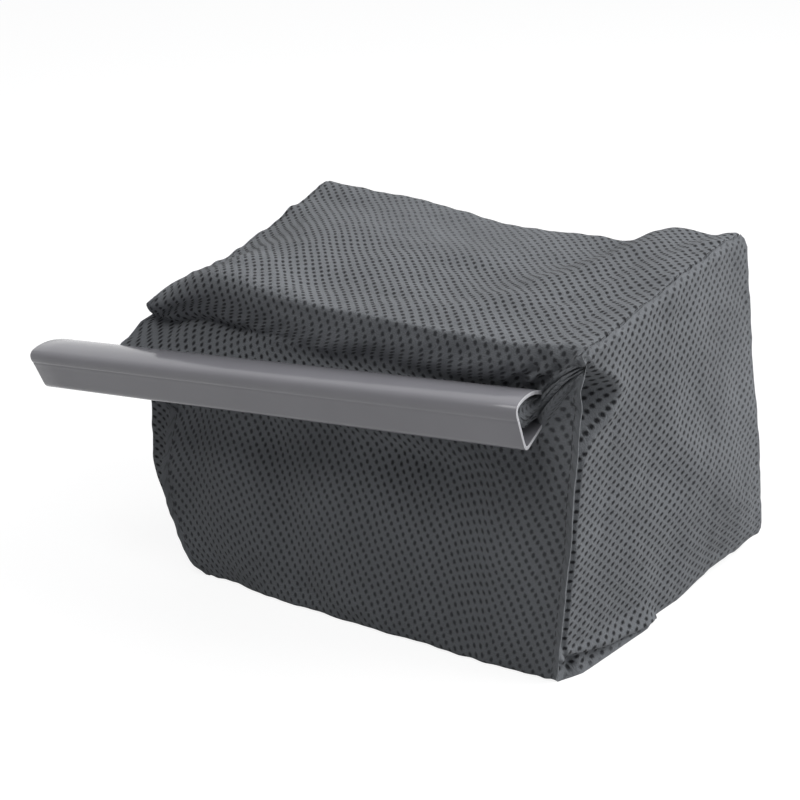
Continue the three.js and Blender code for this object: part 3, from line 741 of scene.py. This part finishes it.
def dressed_strip():
    """The strip's ring in the sewn box, and all its points with folds and seams."""
    across, ring, surface, upper, lower = strip_surface()
    x = across[:, None] + np.zeros(ring.shape[:2])
    y, z = ring[..., 0], ring[..., 1]
    normals = outward_normals(surface, len(across) // 2, ring.shape[1] // 3, UPWARDS)
    far, _, on_top, _, _ = ring_marks(ring)
    out = front_folds(x, y, z) + top_folds(x, y, z)
    out = out + 0.16 * ripple(x, far, 3, 11) + 0.25 * ripple(x, far, 4, 24)
    for right in (True, False):
        gap = (EDGE - across if right else EDGE + across)[:, None]
        height = seam_height(ring, right)
        out = out + height * bell(gap / 1.5)
        surface[..., 0] += height * bell(gap / 0.8) * (1 if right else -1)
        out = out + 0.35 * np.exp(-gap / 6) * ripple(far, 0 * far + gap / 2, 43, 12)
        # The needle line draws the top in
        out = out - 1.8 * on_top * bell((gap - 1.0) / 0.4)
    # Ruffles above the gathers at the right end
    ruffled = ease((x - 62) / 20) * bell((z - MOUTH - 13) / 10) * ease(1 - y / 12)
    out = out + ruffled * (1.2 * np.sin((x - 0.55 * z) * 0.75)
                           + 0.8 * np.sin((x * 0.8 + 0.9 * z) * 0.9))
    surface = surface + normals * out[..., None]
    surface[..., 2] = np.maximum(surface[..., 2], 0.15)
    points = np.concatenate([upper, surface, lower], axis=1)
    # The joins of the hem and the ring are rounded by easing neighbours together
    for join in (upper.shape[1], upper.shape[1] + surface.shape[1]):
        for _ in range(3):
            for j in range(join - 3, join + 3):
                points[:, j] = (points[:, j - 1] + points[:, j] * 2 + points[:, j + 1]) / 4
    return across, ring, points


def around_bag(ring):
    """The columns of the strip's points that go round the bag, between the hem's two."""
    return slice(UPPER_POINTS, UPPER_POINTS + ring.shape[1])


def strip_flat(across, points, in_hem):
    """Where each point of the strip lies on the flat cloth."""
    path = arc_length(points)
    past_ridge = path - path[:, UPPER_POINTS + RIDGE_INDEX][:, None]
    wide = np.broadcast_to(across[:, None], path.shape)
    # Gathered hem keeps its true width across the gathers
    steps = np.linalg.norm(np.diff(points, axis=0), axis=-1)
    steps = np.where(gather_share(across)[1:, None] > 0, steps, np.diff(wide, axis=0))
    gathered = wide[:1] + np.concatenate([0 * wide[:1], np.cumsum(steps, axis=0)])
    over_top = 0.28 * np.clip(past_ridge, 0, 2 * DEPTH + HEIGHT)
    return np.stack([np.where(in_hem, gathered, wide) + over_top, past_ridge], axis=-1)


def strip_nap(across, points, in_hem):
    """How far the dots fade, from 0 to 1: painted light on the top towards the back, where light
    from above fills their pits, and on the gathered hem in the rail's shade.
    """
    wide = across[:, None]
    y, z = points[..., 1], points[..., 2]
    on_top = ease((z - HEIGHT + 16) / 8) * ease((y - 3) / 20)
    lit_dots = 0.4 * on_top * bell((wide + 20) / 50) * ease((y - 70) / 40)
    lit_dots = lit_dots + 0.25 * ease(1 - y / 8) * ~in_hem
    lit_dots = lit_dots + 0.6 * in_hem * ease(gather_share(across) * 8)[:, None]
    # Two layers of cloth hide the dots along the seams, and the faded dots paint the seam fins'
    # light line clean
    return np.maximum(lit_dots, 0.9 * bell((EDGE - np.abs(wide)) / 1.7) * (1 - on_top))


class DUSTBAG_OT_cloth_strip(bpy.types.Operator):
    """Front, top, back and bottom in one strip, with the hem in the rail"""

    bl_idname = "dust_bag.cloth_strip"
    bl_label = "Cloth Strip"

    def execute(self, context):
        across, ring, points = dressed_strip()
        in_hem = np.ones(points.shape[:2], bool)
        in_hem[:, around_bag(ring)] = False
        far_from_inlet = np.hypot(points[..., 0] - inlet_centre[0],
                                  points[..., 2] - inlet_centre[2])
        hole = (far_from_inlet < INLET_HOLE) & (points[..., 1] > DEPTH - 20)
        keep = ~(hole[:-1, :-1] | hole[1:, 1:] | hole[1:, :-1] | hole[:-1, 1:])
        piece = mesh_piece("bag_cloth_strip", points, grid_faces(*points.shape[:2], keep),
                           shared_material(spunbond_nonwoven), "bag",
                           strip_flat(across, points, in_hem),
                           strip_nap(across, points, in_hem))
        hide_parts("cloth_strip")
        return {"FINISHED"}


def panel_rim(right):
    """The strip's end that a side panel is sewn to: its ring (y, z), and its place."""
    across, ring, points = dressed_strip()
    end = -1 if right else 0
    return ring[end], points[end, around_bag(ring)]


def panel_edges(ring, heights):
    """The front and back edge of a panel at each height."""
    y, z = ring[:, 0], ring[:, 1]
    low = int(np.argmin(np.where(y < DEPTH / 2, z + y / 50, np.inf)))
    front = np.vstack([ring[low:], ring[:RIDGE_INDEX]])
    behind = ring[y > DEPTH - 4][::-1]
    return (np.interp(heights, front[:, 1], front[:, 0]),
            np.interp(heights, behind[:, 1], behind[:, 0]))


def turn_about_middle(y, z):
    """Angle about a panel's middle, which grows round the ring from the lower lip."""
    return np.mod(math.radians(200) - np.arctan2(z - HEIGHT / 2, y - DEPTH / 2) - 1e-9, math.tau)


def sewn_to(rim_ring, rim_place, y, z, surface, gap):
    """Moves a panel's rim onto the strip's edge, easing out within a few millimetres."""
    at = turn_about_middle(rim_ring[:, 0], rim_ring[:, 1])
    order = np.argsort(at)
    loop = [(0, j) for j in range(z.shape[1])]
    loop += [(i, z.shape[1] - 1) for i in range(1, z.shape[0])]
    loop += [(z.shape[0] - 1, j) for j in range(z.shape[1] - 2, -1, -1)]
    loop += [(i, 0) for i in range(z.shape[0] - 2, 0, -1)]
    rows, columns = np.array(loop).T
    own = turn_about_middle(y[rows, columns], z[rows, columns])
    own_order = np.argsort(own)
    turn = turn_about_middle(y, z)
    share = ease(1 - gap / 3.5)
    for k in range(3):
        target = np.interp(turn, at[order], rim_place[order, k], period=math.tau)
        had = np.interp(turn, own[own_order], surface[rows, columns, k][own_order],
                        period=math.tau)
        surface[..., k] += (target - had) * share
    return surface


# How far back the valley behind the front seam reaches, as (height, reach)
VALLEY = [(0, 2.6), (93, 2.8), (98, 5), (103, 11), (107.5, 17), (112, 21.5), (116, 23),
          (120, 21), (124.5, 15), (131, 5.5), (136, 2.5), (140, 2)]

# How high the tuck along the bottom is, as (from the front, height)
TUCK = [(0, 11.5), (12, 8.0), (27, 4.5), (44, 2.5), (58, 1.5), (66, 0.0)]


def right_panel_folds(y, z):
    """Valley behind the front seam, tuck along the bottom and folds, outwards."""
    reach = looked_up(z, VALLEY)
    share = clamp((y - 1.5) / reach)
    deep = np.maximum(0.85 * reach, 2.6) * ease(z / 12) * ease((HEIGHT - 3 - z) / 6)
    out = -deep * ease((y - 0.5) / 3) * (1 - share ** 2) ** 1.4
    out = out + 0.8 * bell((y - reach - 4) / 4) * ease((reach - 6) / 10)
    tuck = looked_up(y, TUCK)
    under = ease((tuck - z) / 0.8) * ease((66 - y) / 6)
    out = out - 2.6 * under + 0.8 * bell((z - tuck - 1.6) / 1.8) * ease((64 - y) / 10)
    out = out - 2.4 * bell((y - 6 - 0.4 * z) / 2.2) * ease((9 - z) / 3) * ease(y / 4)
    # Soft folds, and a fan of shallow pleats in the lower back corner
    out = out + 0.9 * bell((z - 118 + 0.87 * (y - 21)) / 12) * ease((y - 30) / 30)
    out = out - 0.8 * bell((z - 96 + 0.5 * (y - 40)) / 14) * ease((y - 22) / 30)
    out = out + 0.7 * bell((z - 34 - 0.25 * (y - 30)) / 16) * ease((y - 8) / 20)
    pleats = ease((y - 78) / 40) * ease((60 - z) / 40)
    return out + 0.2 * pleats * np.sin(y * math.tau / 9.5 + z * 0.05)


# The row of a panel's grid that its dots are laid from, and a smooth place on it
FLAT_ROW, SMOOTH_CELL = 100, (20, 40)


class DUSTBAG_OT_side_panels(bpy.types.Operator):
    """Two square ends of the bag, each sewn to the strip all round"""

    bl_idname = "dust_bag.side_panels"
    bl_label = "Side Panels"

    def execute(self, context):
        for right in (True, False):
            self.panel(right)
        return {"FINISHED"}

    def panel(self, right):
        """The right panel, or else the left."""
        fine = np.concatenate([np.arange(0, 5, 0.5), np.arange(5, 30, 1.0)])
        rest = np.linspace(30, DEPTH - 6, 74)
        steps = np.concatenate([fine, rest, DEPTH - np.arange(5.5, -0.1, -0.5)])
        heights = np.concatenate([np.arange(0, 12, 0.5), np.linspace(12, HEIGHT - 6, 92),
                                  HEIGHT - np.arange(5.5, -0.1, -0.5)])
        rim_ring, rim_place = panel_rim(right)
        y_front, y_back = panel_edges(rim_ring, heights)
        share = (steps / DEPTH)[:, None]
        z = heights[None, :] + 0 * share
        y = y_front[None, :] + share * (y_back - y_front)[None, :]
        x = np.full(z.shape, HALF if right else -HALF)
        surface = stand(x, y, z)
        edge_y = np.minimum(y - y_front[None, :], y_back[None, :] - y)
        edge_z = np.minimum(z, HEIGHT - z)
        gap = np.minimum(edge_y, edge_z)
        out = (0.16 * ripple(y, z, 21, 11) + 0.35 * ripple(y, z, 22, 26)) * ease(gap / 8)
        if right:
            out = out + right_panel_folds(y, z)
        else:
            out = out - 1.7 * bell((y - 2.4) / 1.1) * ease(z / 12) * ease((MOUTH - z) / 10)
        around = np.where(edge_y < edge_z, z, y)
        out = out + 0.35 * np.exp(-gap / 6) * ripple(around, gap / 2, 44, 12)
        normals = outward_normals(surface, *SMOOTH_CELL, (1 if right else -1, 0, 0))
        surface = surface + normals * out[..., None]
        surface = sewn_to(rim_ring, rim_place, y, z, surface, gap)
        surface[..., 2] = np.maximum(surface[..., 2], 0.1)
        far = arc_length(np.swapaxes(surface, 0, 1)).T
        far = far - far[FLAT_ROW] + y[FLAT_ROW]
        # The panels are cut from other places on the cloth than the strip
        cut_from = 400 if right else 800
        uv = np.stack([cut_from - z + 0.12 * far, far], axis=-1) * 0.95
        # The dots fade towards the back and along the seams, which paints the cloth lighter
        # there
        lit_dots = np.maximum(0.2 * ease((y - 60) / 80), 0.9 * bell(gap / 1.5))
        name = "bag_side_panel_right" if right else "bag_side_panel_left"
        piece = mesh_piece(name, surface, grid_faces(*z.shape),
                           shared_material(spunbond_nonwoven), "bag", uv, lit_dots)
        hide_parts("side_panel_right" if right else "side_panel_left")


# The closing rail

def rail_centre_line():
    """Middle of the rail's wall, as (backwards, up), from its lip over its nose to its jaw."""
    wall, depth, high = size("rail_wall"), size("rail_depth"), size("rail_height")
    opening = size("rail_opening")
    half = wall / 2
    lip = np.array([depth - 2.6, -3.0])
    nose = np.array([half, -half])
    heel = np.array([8.0, half - high])
    jaw = np.array([depth - half, -3.0 - opening - half])
    over = np.array([depth * 0.3, 1.3])
    under = np.array([depth * 0.62, 0.9])

    def towards(start, end, reach=3.0):
        way = end - start
        return start + way / np.linalg.norm(way) * reach

    t = np.linspace(0, 1, 40)[:, None]
    nose_top = towards(nose, over, 2.8)
    arch = (lip * (1 - t) ** 3 + under * 3 * t * (1 - t) ** 2
            + over * 3 * t * t * (1 - t) + nose_top * t ** 3)
    round_bend = np.linspace(0, 1, 13)[:, None]
    face_top = towards(nose, heel, 4)
    nose_bend = bend(nose_top, nose, face_top, round_bend[1:])
    t = t[1:-1]
    face = face_top * (1 - t) + towards(heel, nose) * t
    heel_bend = bend(towards(heel, nose), heel, towards(heel, jaw), round_bend)
    return np.vstack([arch, nose_bend, face, heel_bend, jaw[None]])


# Points that round each edge of the rail's wall
CAP_POINTS = 4


def rail_section(line):
    """The rail's outline, with round edges, and the middle of the wall beside each point."""
    half = size("rail_wall") / 2
    way = np.gradient(line, axis=0)
    way /= np.linalg.norm(way, axis=1, keepdims=True)
    side = np.stack([-way[:, 1], way[:, 0]], axis=-1)
    far = arc_length(line[None])[0]
    # A fine draw groove where the arch meets the face
    nose = far[np.argmin(line[:, 0])]
    groove = 0.16 * bell((far - nose - 3.2) / 0.55)
    outer = line - side * (half - groove[:, None])
    inner = line + side * half

    def cap(end, start_side, direction):
        angles = np.linspace(0, math.pi, CAP_POINTS + 2)[1:-1]
        return [end + start_side * half * math.cos(a) + direction * half * math.sin(a)
                for a in angles]

    section = np.vstack([outer, cap(line[-1], -side[-1], way[-1]), inner[::-1],
                         cap(line[0], side[0], -way[0])])
    middle = np.vstack([line, np.repeat(line[-1:], CAP_POINTS, 0), line[::-1],
                        np.repeat(line[:1], CAP_POINTS, 0)])
    return section, middle


def rail_end_faces(base, count, long):
    """Faces across the wall at one end, for a centre line of long points."""
    last = 2 * long + CAP_POINTS - 1
    faces = [(base + i, base + i + 1, base + last - 1 - i, base + last - i)
             for i in range(long - 1)]
    for start in (long - 1, last):
        faces.append(tuple(base + (start + k) % count for k in range(CAP_POINTS + 2)))
    return faces


def turned_over(faces):
    """The same faces, seen from their other side."""
    return [tuple(reversed(face)) for face in faces]


class DUSTBAG_OT_closing_rail(bpy.types.Operator):
    """Extruded rail that slides over the folded hem"""

    bl_idname = "dust_bag.closing_rail"
    bl_label = "Closing Rail"

    def execute(self, context):
        line = rail_centre_line()
        section, middle = rail_section(line)
        half, full = size("rail_wall") / 2, size("rail_length")
        bevel = 0.3
        # Each row of points: how far along the rail, and its share of the wall's thickness
        ends = [(0.0, 1 - bevel / half * 0.9), (bevel * 0.3, 1 - bevel / half * 0.3),
                (bevel, 1.0)]
        rows = ends + [(a, 1.0) for a in np.linspace(bevel, full - bevel, 24)[1:-1]]
        rows += [(full - a, k) for a, k in ends[::-1]]
        points = []
        for along, share in rows:
            inset = middle + (section - middle) * share
            # The cut is a little longer at the left, where the arch is pressed lower
            left = 1 - along / full
            lower = 1.3 * left * clamp((inset[:, 1] + 8) / 8)
            points.append(in_rail(np.full(len(inset), along - 2.3 * left ** 8),
                                  inset[:, 0], inset[:, 1] - lower))
        points = np.stack(points)
        count = points.shape[1]
        faces = turned_over(grid_faces(*points.shape[:2], closed=True))
        faces += rail_end_faces(0, count, len(line))
        faces += turned_over(rail_end_faces((len(rows) - 1) * count, count, len(line)))
        piece = mesh_piece("closing_rail_profile", points, faces,
                           shared_material(extruded_polypropylene), "rail")
        # The ends are painted paler, as light falling on them
        piece.data.materials.append(shared_material(lit_cut_polypropylene))
        for polygon in piece.data.polygons:
            rows_met = {corner // count for corner in polygon.vertices}
            if max(rows_met) <= 1 or min(rows_met) >= len(rows) - 2:
                polygon.material_index = 1
        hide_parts("closing_rail")
        return {"FINISHED"}


# The inlet

def lathe(section):
    """Turns (radius, out) points about the inlet's axis."""
    steps = 96
    section = np.array(section, float)
    angle = np.linspace(0, math.tau, steps, endpoint=False)
    radius, out = section[:, 0][None, :], section[:, 1][None, :]
    points = np.stack([inlet_centre[0] + radius * np.cos(angle)[:, None],
                       inlet_centre[1] + out + 0 * angle[:, None],
                       inlet_centre[2] + radius * np.sin(angle)[:, None]], axis=-1)
    return points, closed_faces(steps, len(section))


def closed_faces(rows, columns):
    """Faces of a grid that closes both ways, its last row on its first."""
    last = (rows - 1) * columns
    closing = [(last + j, last + (j + 1) % columns, (j + 1) % columns, j)
               for j in range(columns)]
    return grid_faces(rows, columns, closed=True) + closing


def rounded_section(corners, radius):
    """A closed section with its corners rounded."""
    points = []
    count = len(corners)
    corners = [np.array(c, float) for c in corners]
    for i, corner in enumerate(corners):
        before, after = corners[i - 1] - corner, corners[(i + 1) % count] - corner
        reach = min(radius, np.linalg.norm(before) * 0.45, np.linalg.norm(after) * 0.45)
        start = corner + before / np.linalg.norm(before) * reach
        end = corner + after / np.linalg.norm(after) * reach
        points += [bend(start, corner, end, t) for t in np.linspace(0, 1, 4)]
    return points


# The collar's half width, half height and corner radius, and its points round
COLLAR_WIDE, COLLAR_HIGH, COLLAR_CORNER = 54.0, 48.0, 10.0
COLLAR_POINTS = 128

# The collar's section: its rim as (inset, out), then its bore as (radius, out)
COLLAR_RIM = [(0.5, 0.3), (0.0, 0.8), (0.0, 2.3), (0.15, 2.7), (0.5, 2.9), (4.0, 2.9)]
COLLAR_BORE = [(36.0, 2.9), (35.2, 2.6), (27.5, 2.6), (27.0, 2.9), (26.4, 2.9), (26.0, 2.6),
               (26.0, 1.9), (33.3, 1.8), (33.3, 0.3)]

# The seal's and the back ring's sections, as (radius, out), each with its corner radius
SEAL = [(22, -0.9), (23, -0.9), (24.2, 0.3), (33, 0.3), (33, 1.5), (22, 1.5)], 0.35
BACK_RING = [(30, -3.9), (40, -3.9), (40, -1.9), (30, -1.9)], 0.5


def collar_outline(angle):
    """The collar's rounded outline, at one point for each angle."""
    outline = []
    for a in angle:
        c, s = math.cos(a), math.sin(a)
        reach = min(COLLAR_WIDE / max(abs(c), 1e-9), COLLAR_HIGH / max(abs(s), 1e-9))
        px, pz = c * reach, s * reach
        centre_x, centre_z = COLLAR_WIDE - COLLAR_CORNER, COLLAR_HIGH - COLLAR_CORNER
        if abs(px) > centre_x and abs(pz) > centre_z:
            turn = math.atan2(abs(pz) - centre_z, abs(px) - centre_x)
            px = math.copysign(centre_x + COLLAR_CORNER * math.cos(turn), px)
            pz = math.copysign(centre_z + COLLAR_CORNER * math.sin(turn), pz)
        outline.append((px, pz))
    return np.array(outline)


class DUSTBAG_OT_inlet(bpy.types.Operator):
    """Collar, seal and back ring of the inlet"""

    bl_idname = "dust_bag.inlet"
    bl_label = "Inlet"

    def execute(self, context):
        plastic = shared_material(extruded_polypropylene)
        angle = np.linspace(0, math.tau, COLLAR_POINTS, endpoint=False)
        outline = collar_outline(angle)
        circle = np.stack([np.cos(angle), np.sin(angle)], axis=-1)
        loops = [(outline * np.array([1 - inset / COLLAR_WIDE, 1 - inset / COLLAR_HIGH]), out)
                 for inset, out in COLLAR_RIM]
        loops += [(circle * radius, out) for radius, out in COLLAR_BORE]
        points = np.stack([np.stack([inlet_centre[0] + flat[:, 0],
                                     np.full(COLLAR_POINTS, inlet_centre[1] + out),
                                     inlet_centre[2] + flat[:, 1]], axis=-1)
                           for flat, out in loops])
        faces = closed_faces(len(loops), COLLAR_POINTS)
        collar = mesh_piece("inlet_collar_plate", points, faces, plastic, "bag")
        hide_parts("inlet_collar")
        points, faces = lathe(rounded_section(*SEAL))
        seal = mesh_piece("inlet_rubber_seal", points, faces, shared_material(moulded_rubber),
                          "bag")
        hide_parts("inlet_seal")
        points, faces = lathe(rounded_section(*BACK_RING))
        ring = mesh_piece("inlet_back_ring", points, faces, plastic, "bag")
        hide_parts("collar_back_ring")
        for piece in (collar, seal, ring):
            edges = piece.modifiers.new("edges", "EDGE_SPLIT")
            edges.split_angle = math.radians(50)
        return {"FINISHED"}


# Sewing

# How far the needle lines lie from the right seam, for the right and the left seam
NEEDLE_LINES = (1.3, WIDTH - 2.3)


class DUSTBAG_OT_stitches(bpy.types.Operator):
    """Lockstitches along the seams, whose dark thread also paints a shade line there"""

    bl_idname = "dust_bag.stitches"
    bl_label = "Stitches"

    def execute(self, context):
        across, ring, points = dressed_strip()
        outward = outward_normals(points, len(across) // 2,
                                  UPPER_POINTS + ring.shape[1] // 3, UPWARDS)
        seam = around_bag(ring)
        lines = []
        for inset in NEEDLE_LINES:
            column = int(np.argmin(np.abs(across - (EDGE - inset))))
            lines += self.stitches(points[column, seam], outward[column, seam])
        thread, faces = tubes(lines, size("thread") / 2)
        mesh_piece("seam_thread_and_shade_line", thread, faces, shared_material(spun_thread_and_seam_shade), "bag")
        return {"FINISHED"}

    def stitches(self, seam, outward):
        """Threads that show between the needle's holes along a seam."""
        far = arc_length(seam[None])[0]
        lifted = seam + outward * 0.08
        lines = []
        for start in np.arange(6, far[-1] - 6, size("stitch_pitch")):
            at = np.linspace(start, start + size("stitch"), 5)
            lines.append(np.stack([np.interp(at, far, lifted[:, k]) for k in range(3)],
                                  axis=-1))
        return lines


# The stage

# Where the pale wall stands, and how bright the air is away from it and towards it
WALL_WAY = (0.40, 0.82, 0.41)
AIR_DIM, AIR_BRIGHT = 0.08, 0.60

# Lamps, each aimed at the middle of the bag: name, place in metres, watts, width
LAMPS = [("key_softbox", (0.95, 0.50, 0.95), 11.4, 0.9),
         ("top_softbox", (-0.15, -0.60, 1.28), 4.6, 0.6)]
LAMPS_AIM = (0.0, 0.0, 0.07)

# The camera fitted to the photograph: angles, what it looks at, its distance, and its
# focal length in pixels of the picture
CAMERA_AZIMUTH, CAMERA_ELEVATION = 28.94, 23.55
CAMERA_TARGET = (-7.51, 60.0, 75.53)
CAMERA_DISTANCE = 633.06
FOCUS, PICTURE, SENSOR = 1454.93, 800, 36.0


def seen_directly(tree):
    """1 for camera, transmission and glossy rays, 0 for the light that falls on things."""
    path = node(tree, "ShaderNodeLightPath")
    seen = maths(tree, "MAXIMUM", (path, "Is Camera Ray"), (path, "Is Transmission Ray"))
    return maths(tree, "MAXIMUM", seen, (path, "Is Glossy Ray"))


class DUSTBAG_OT_stage(bpy.types.Operator):
    """Pale floor, soft lamps and the camera"""

    bl_idname = "dust_bag.stage"
    bl_label = "Stage"

    def execute(self, context):
        scene = context.scene
        self.floor(scene)
        self.world(scene)
        self.lamps(scene)
        self.camera(scene)
        scene.view_settings.view_transform = "Standard"
        return {"FINISHED"}

    def floor(self, scene):
        """A floor that looks white and gives back light as a grey one."""
        mesh = bpy.data.meshes.new("studio_floor")
        half = 8.0
        mesh.from_pydata([(-half, -half, 0), (half, -half, 0), (half, half, 0),
                          (-half, half, 0)], [], [(0, 1, 2, 3)])
        floor = bpy.data.objects.new("studio_floor", mesh)
        scene.collection.objects.link(floor)
        made = bpy.data.materials.new("painted_floor")
        made.use_nodes = True
        tree = made.node_tree
        tree.nodes.clear()
        seen = seen_directly(tree)
        matt = node(tree, "ShaderNodeBsdfDiffuse", {"Color": tint("floor")})
        pale = node(tree, "ShaderNodeBsdfDiffuse", {"Color": (0.3, 0.3, 0.3, 1.0)})
        glow = node(tree, "ShaderNodeEmission", {"Color": (1, 1, 1, 1), "Strength": 0.86})
        bright = node(tree, "ShaderNodeAddShader", None, [(0, pale, 0), (1, glow, 0)])
        mixed = node(tree, "ShaderNodeMixShader", None,
                     [(0, seen[0], 0), (1, matt, 0), (2, bright, 0)])
        node(tree, "ShaderNodeOutputMaterial", None, [("Surface", mixed, 0)])
        mesh.materials.append(made)

    def world(self, scene):
        """Air that looks white, also in shiny things. It lights the bag from a pale wall
        behind and to the right, and is dim in front and overhead."""
        world = bpy.data.worlds.new("studio_air")
        scene.world = world
        world.use_nodes = True
        tree = world.node_tree
        tree.nodes.clear()
        seen = seen_directly(tree)
        place = node(tree, "ShaderNodeTexCoord")
        wall = node(tree, "ShaderNodeVectorMath", {"operation": "DOT_PRODUCT", 1: WALL_WAY},
                    [(0, place, "Generated")])
        sweep = node(tree, "ShaderNodeMapRange", {"interpolation_type": "SMOOTHSTEP",
                                                  "From Min": -0.1, "From Max": 0.9,
                                                  "To Min": AIR_DIM, "To Max": AIR_BRIGHT},
                     [("Value", wall, "Value")])
        air = node(tree, "ShaderNodeBackground", {"Color": (0.97, 0.98, 1.0, 1)},
                   [("Strength", sweep, 0)])
        white = node(tree, "ShaderNodeBackground", {"Color": (1, 1, 1, 1), "Strength": 1.0})
        mixed = node(tree, "ShaderNodeMixShader", None,
                     [(0, seen[0], 0), (1, air, 0), (2, white, 0)])
        node(tree, "ShaderNodeOutputWorld", None, [("Surface", mixed, 0)])

    def lamps(self, scene):
        """Soft square lamps, aimed at the bag."""
        for name, place, power, wide in LAMPS:
            data = bpy.data.lights.new(name, "AREA")
            data.energy = power
            data.shape = "SQUARE"
            data.size = wide
            lamp = bpy.data.objects.new(name, data)
            lamp.matrix_world = looking(place, np.subtract(place, LAMPS_AIM))
            scene.collection.objects.link(lamp)

    def camera(self, scene):
        """The photograph's camera, to the right of the front and above it."""
        azimuth, elevation = math.radians(CAMERA_AZIMUTH), math.radians(CAMERA_ELEVATION)
        back = np.array([math.sin(azimuth) * math.cos(elevation),
                         -math.cos(azimuth) * math.cos(elevation), math.sin(elevation)])
        place = (np.array(CAMERA_TARGET) + back * CAMERA_DISTANCE + SHIFT) / 1000
        data = bpy.data.cameras.new("photo_camera")
        data.sensor_width = SENSOR
        data.lens = FOCUS / PICTURE * SENSOR
        data.clip_start = 0.01
        data.clip_end = 50.0
        camera = bpy.data.objects.new("photo_camera", data)
        camera.matrix_world = looking(place, back)
        scene.collection.objects.link(camera)
        scene.camera = camera


def looking(place, back):
    """The matrix of a camera or lamp whose own +Z points along back."""
    back = np.asarray(back, float) / np.linalg.norm(back)
    right = np.cross([0, 0, 1.0], back)
    right /= np.linalg.norm(right)
    up = np.cross(back, right)
    matrix = Matrix.Identity(4)
    for i in range(3):
        matrix[i][0], matrix[i][1], matrix[i][2] = right[i], up[i], back[i]
        matrix[i][3] = place[i]
    return matrix


class DUSTBAG_PT_panel(bpy.types.Panel):
    """Builds the bag piece by piece"""

    bl_label = "Dust Bag"
    bl_idname = "DUSTBAG_PT_panel"
    bl_space_type = "VIEW_3D"
    bl_region_type = "UI"
    bl_category = "Dust Bag"

    def draw(self, context):
        layout = self.layout
        for group in (context.scene.dust_bag_sizes, context.scene.dust_bag_colours):
            box = layout.box()
            for name in group.__annotations__:
                box.prop(group, name)
        for operator in OPERATORS:
            layout.operator(operator.bl_idname)


GROUPS = (DustBagSizes, DustBagColours)
OPERATORS = (DUSTBAG_OT_cloth_strip, DUSTBAG_OT_side_panels, DUSTBAG_OT_closing_rail,
             DUSTBAG_OT_inlet, DUSTBAG_OT_stitches, DUSTBAG_OT_stage)
CLASSES = GROUPS + OPERATORS + (DUSTBAG_PT_panel,)


def register():
    for cls in CLASSES:
        bpy.utils.register_class(cls)
    bpy.types.Scene.dust_bag_sizes = PointerProperty(type=DustBagSizes)
    bpy.types.Scene.dust_bag_colours = PointerProperty(type=DustBagColours)


def unregister():
    del bpy.types.Scene.dust_bag_colours
    del bpy.types.Scene.dust_bag_sizes
    for cls in reversed(CLASSES):
        bpy.utils.unregister_class(cls)


def main():
    register()
    bpy.ops.dust_bag.cloth_strip()
    bpy.ops.dust_bag.side_panels()
    bpy.ops.dust_bag.closing_rail()
    bpy.ops.dust_bag.inlet()
    bpy.ops.dust_bag.stitches()
    bpy.ops.dust_bag.stage()


if __name__ == "__main__":
    main()
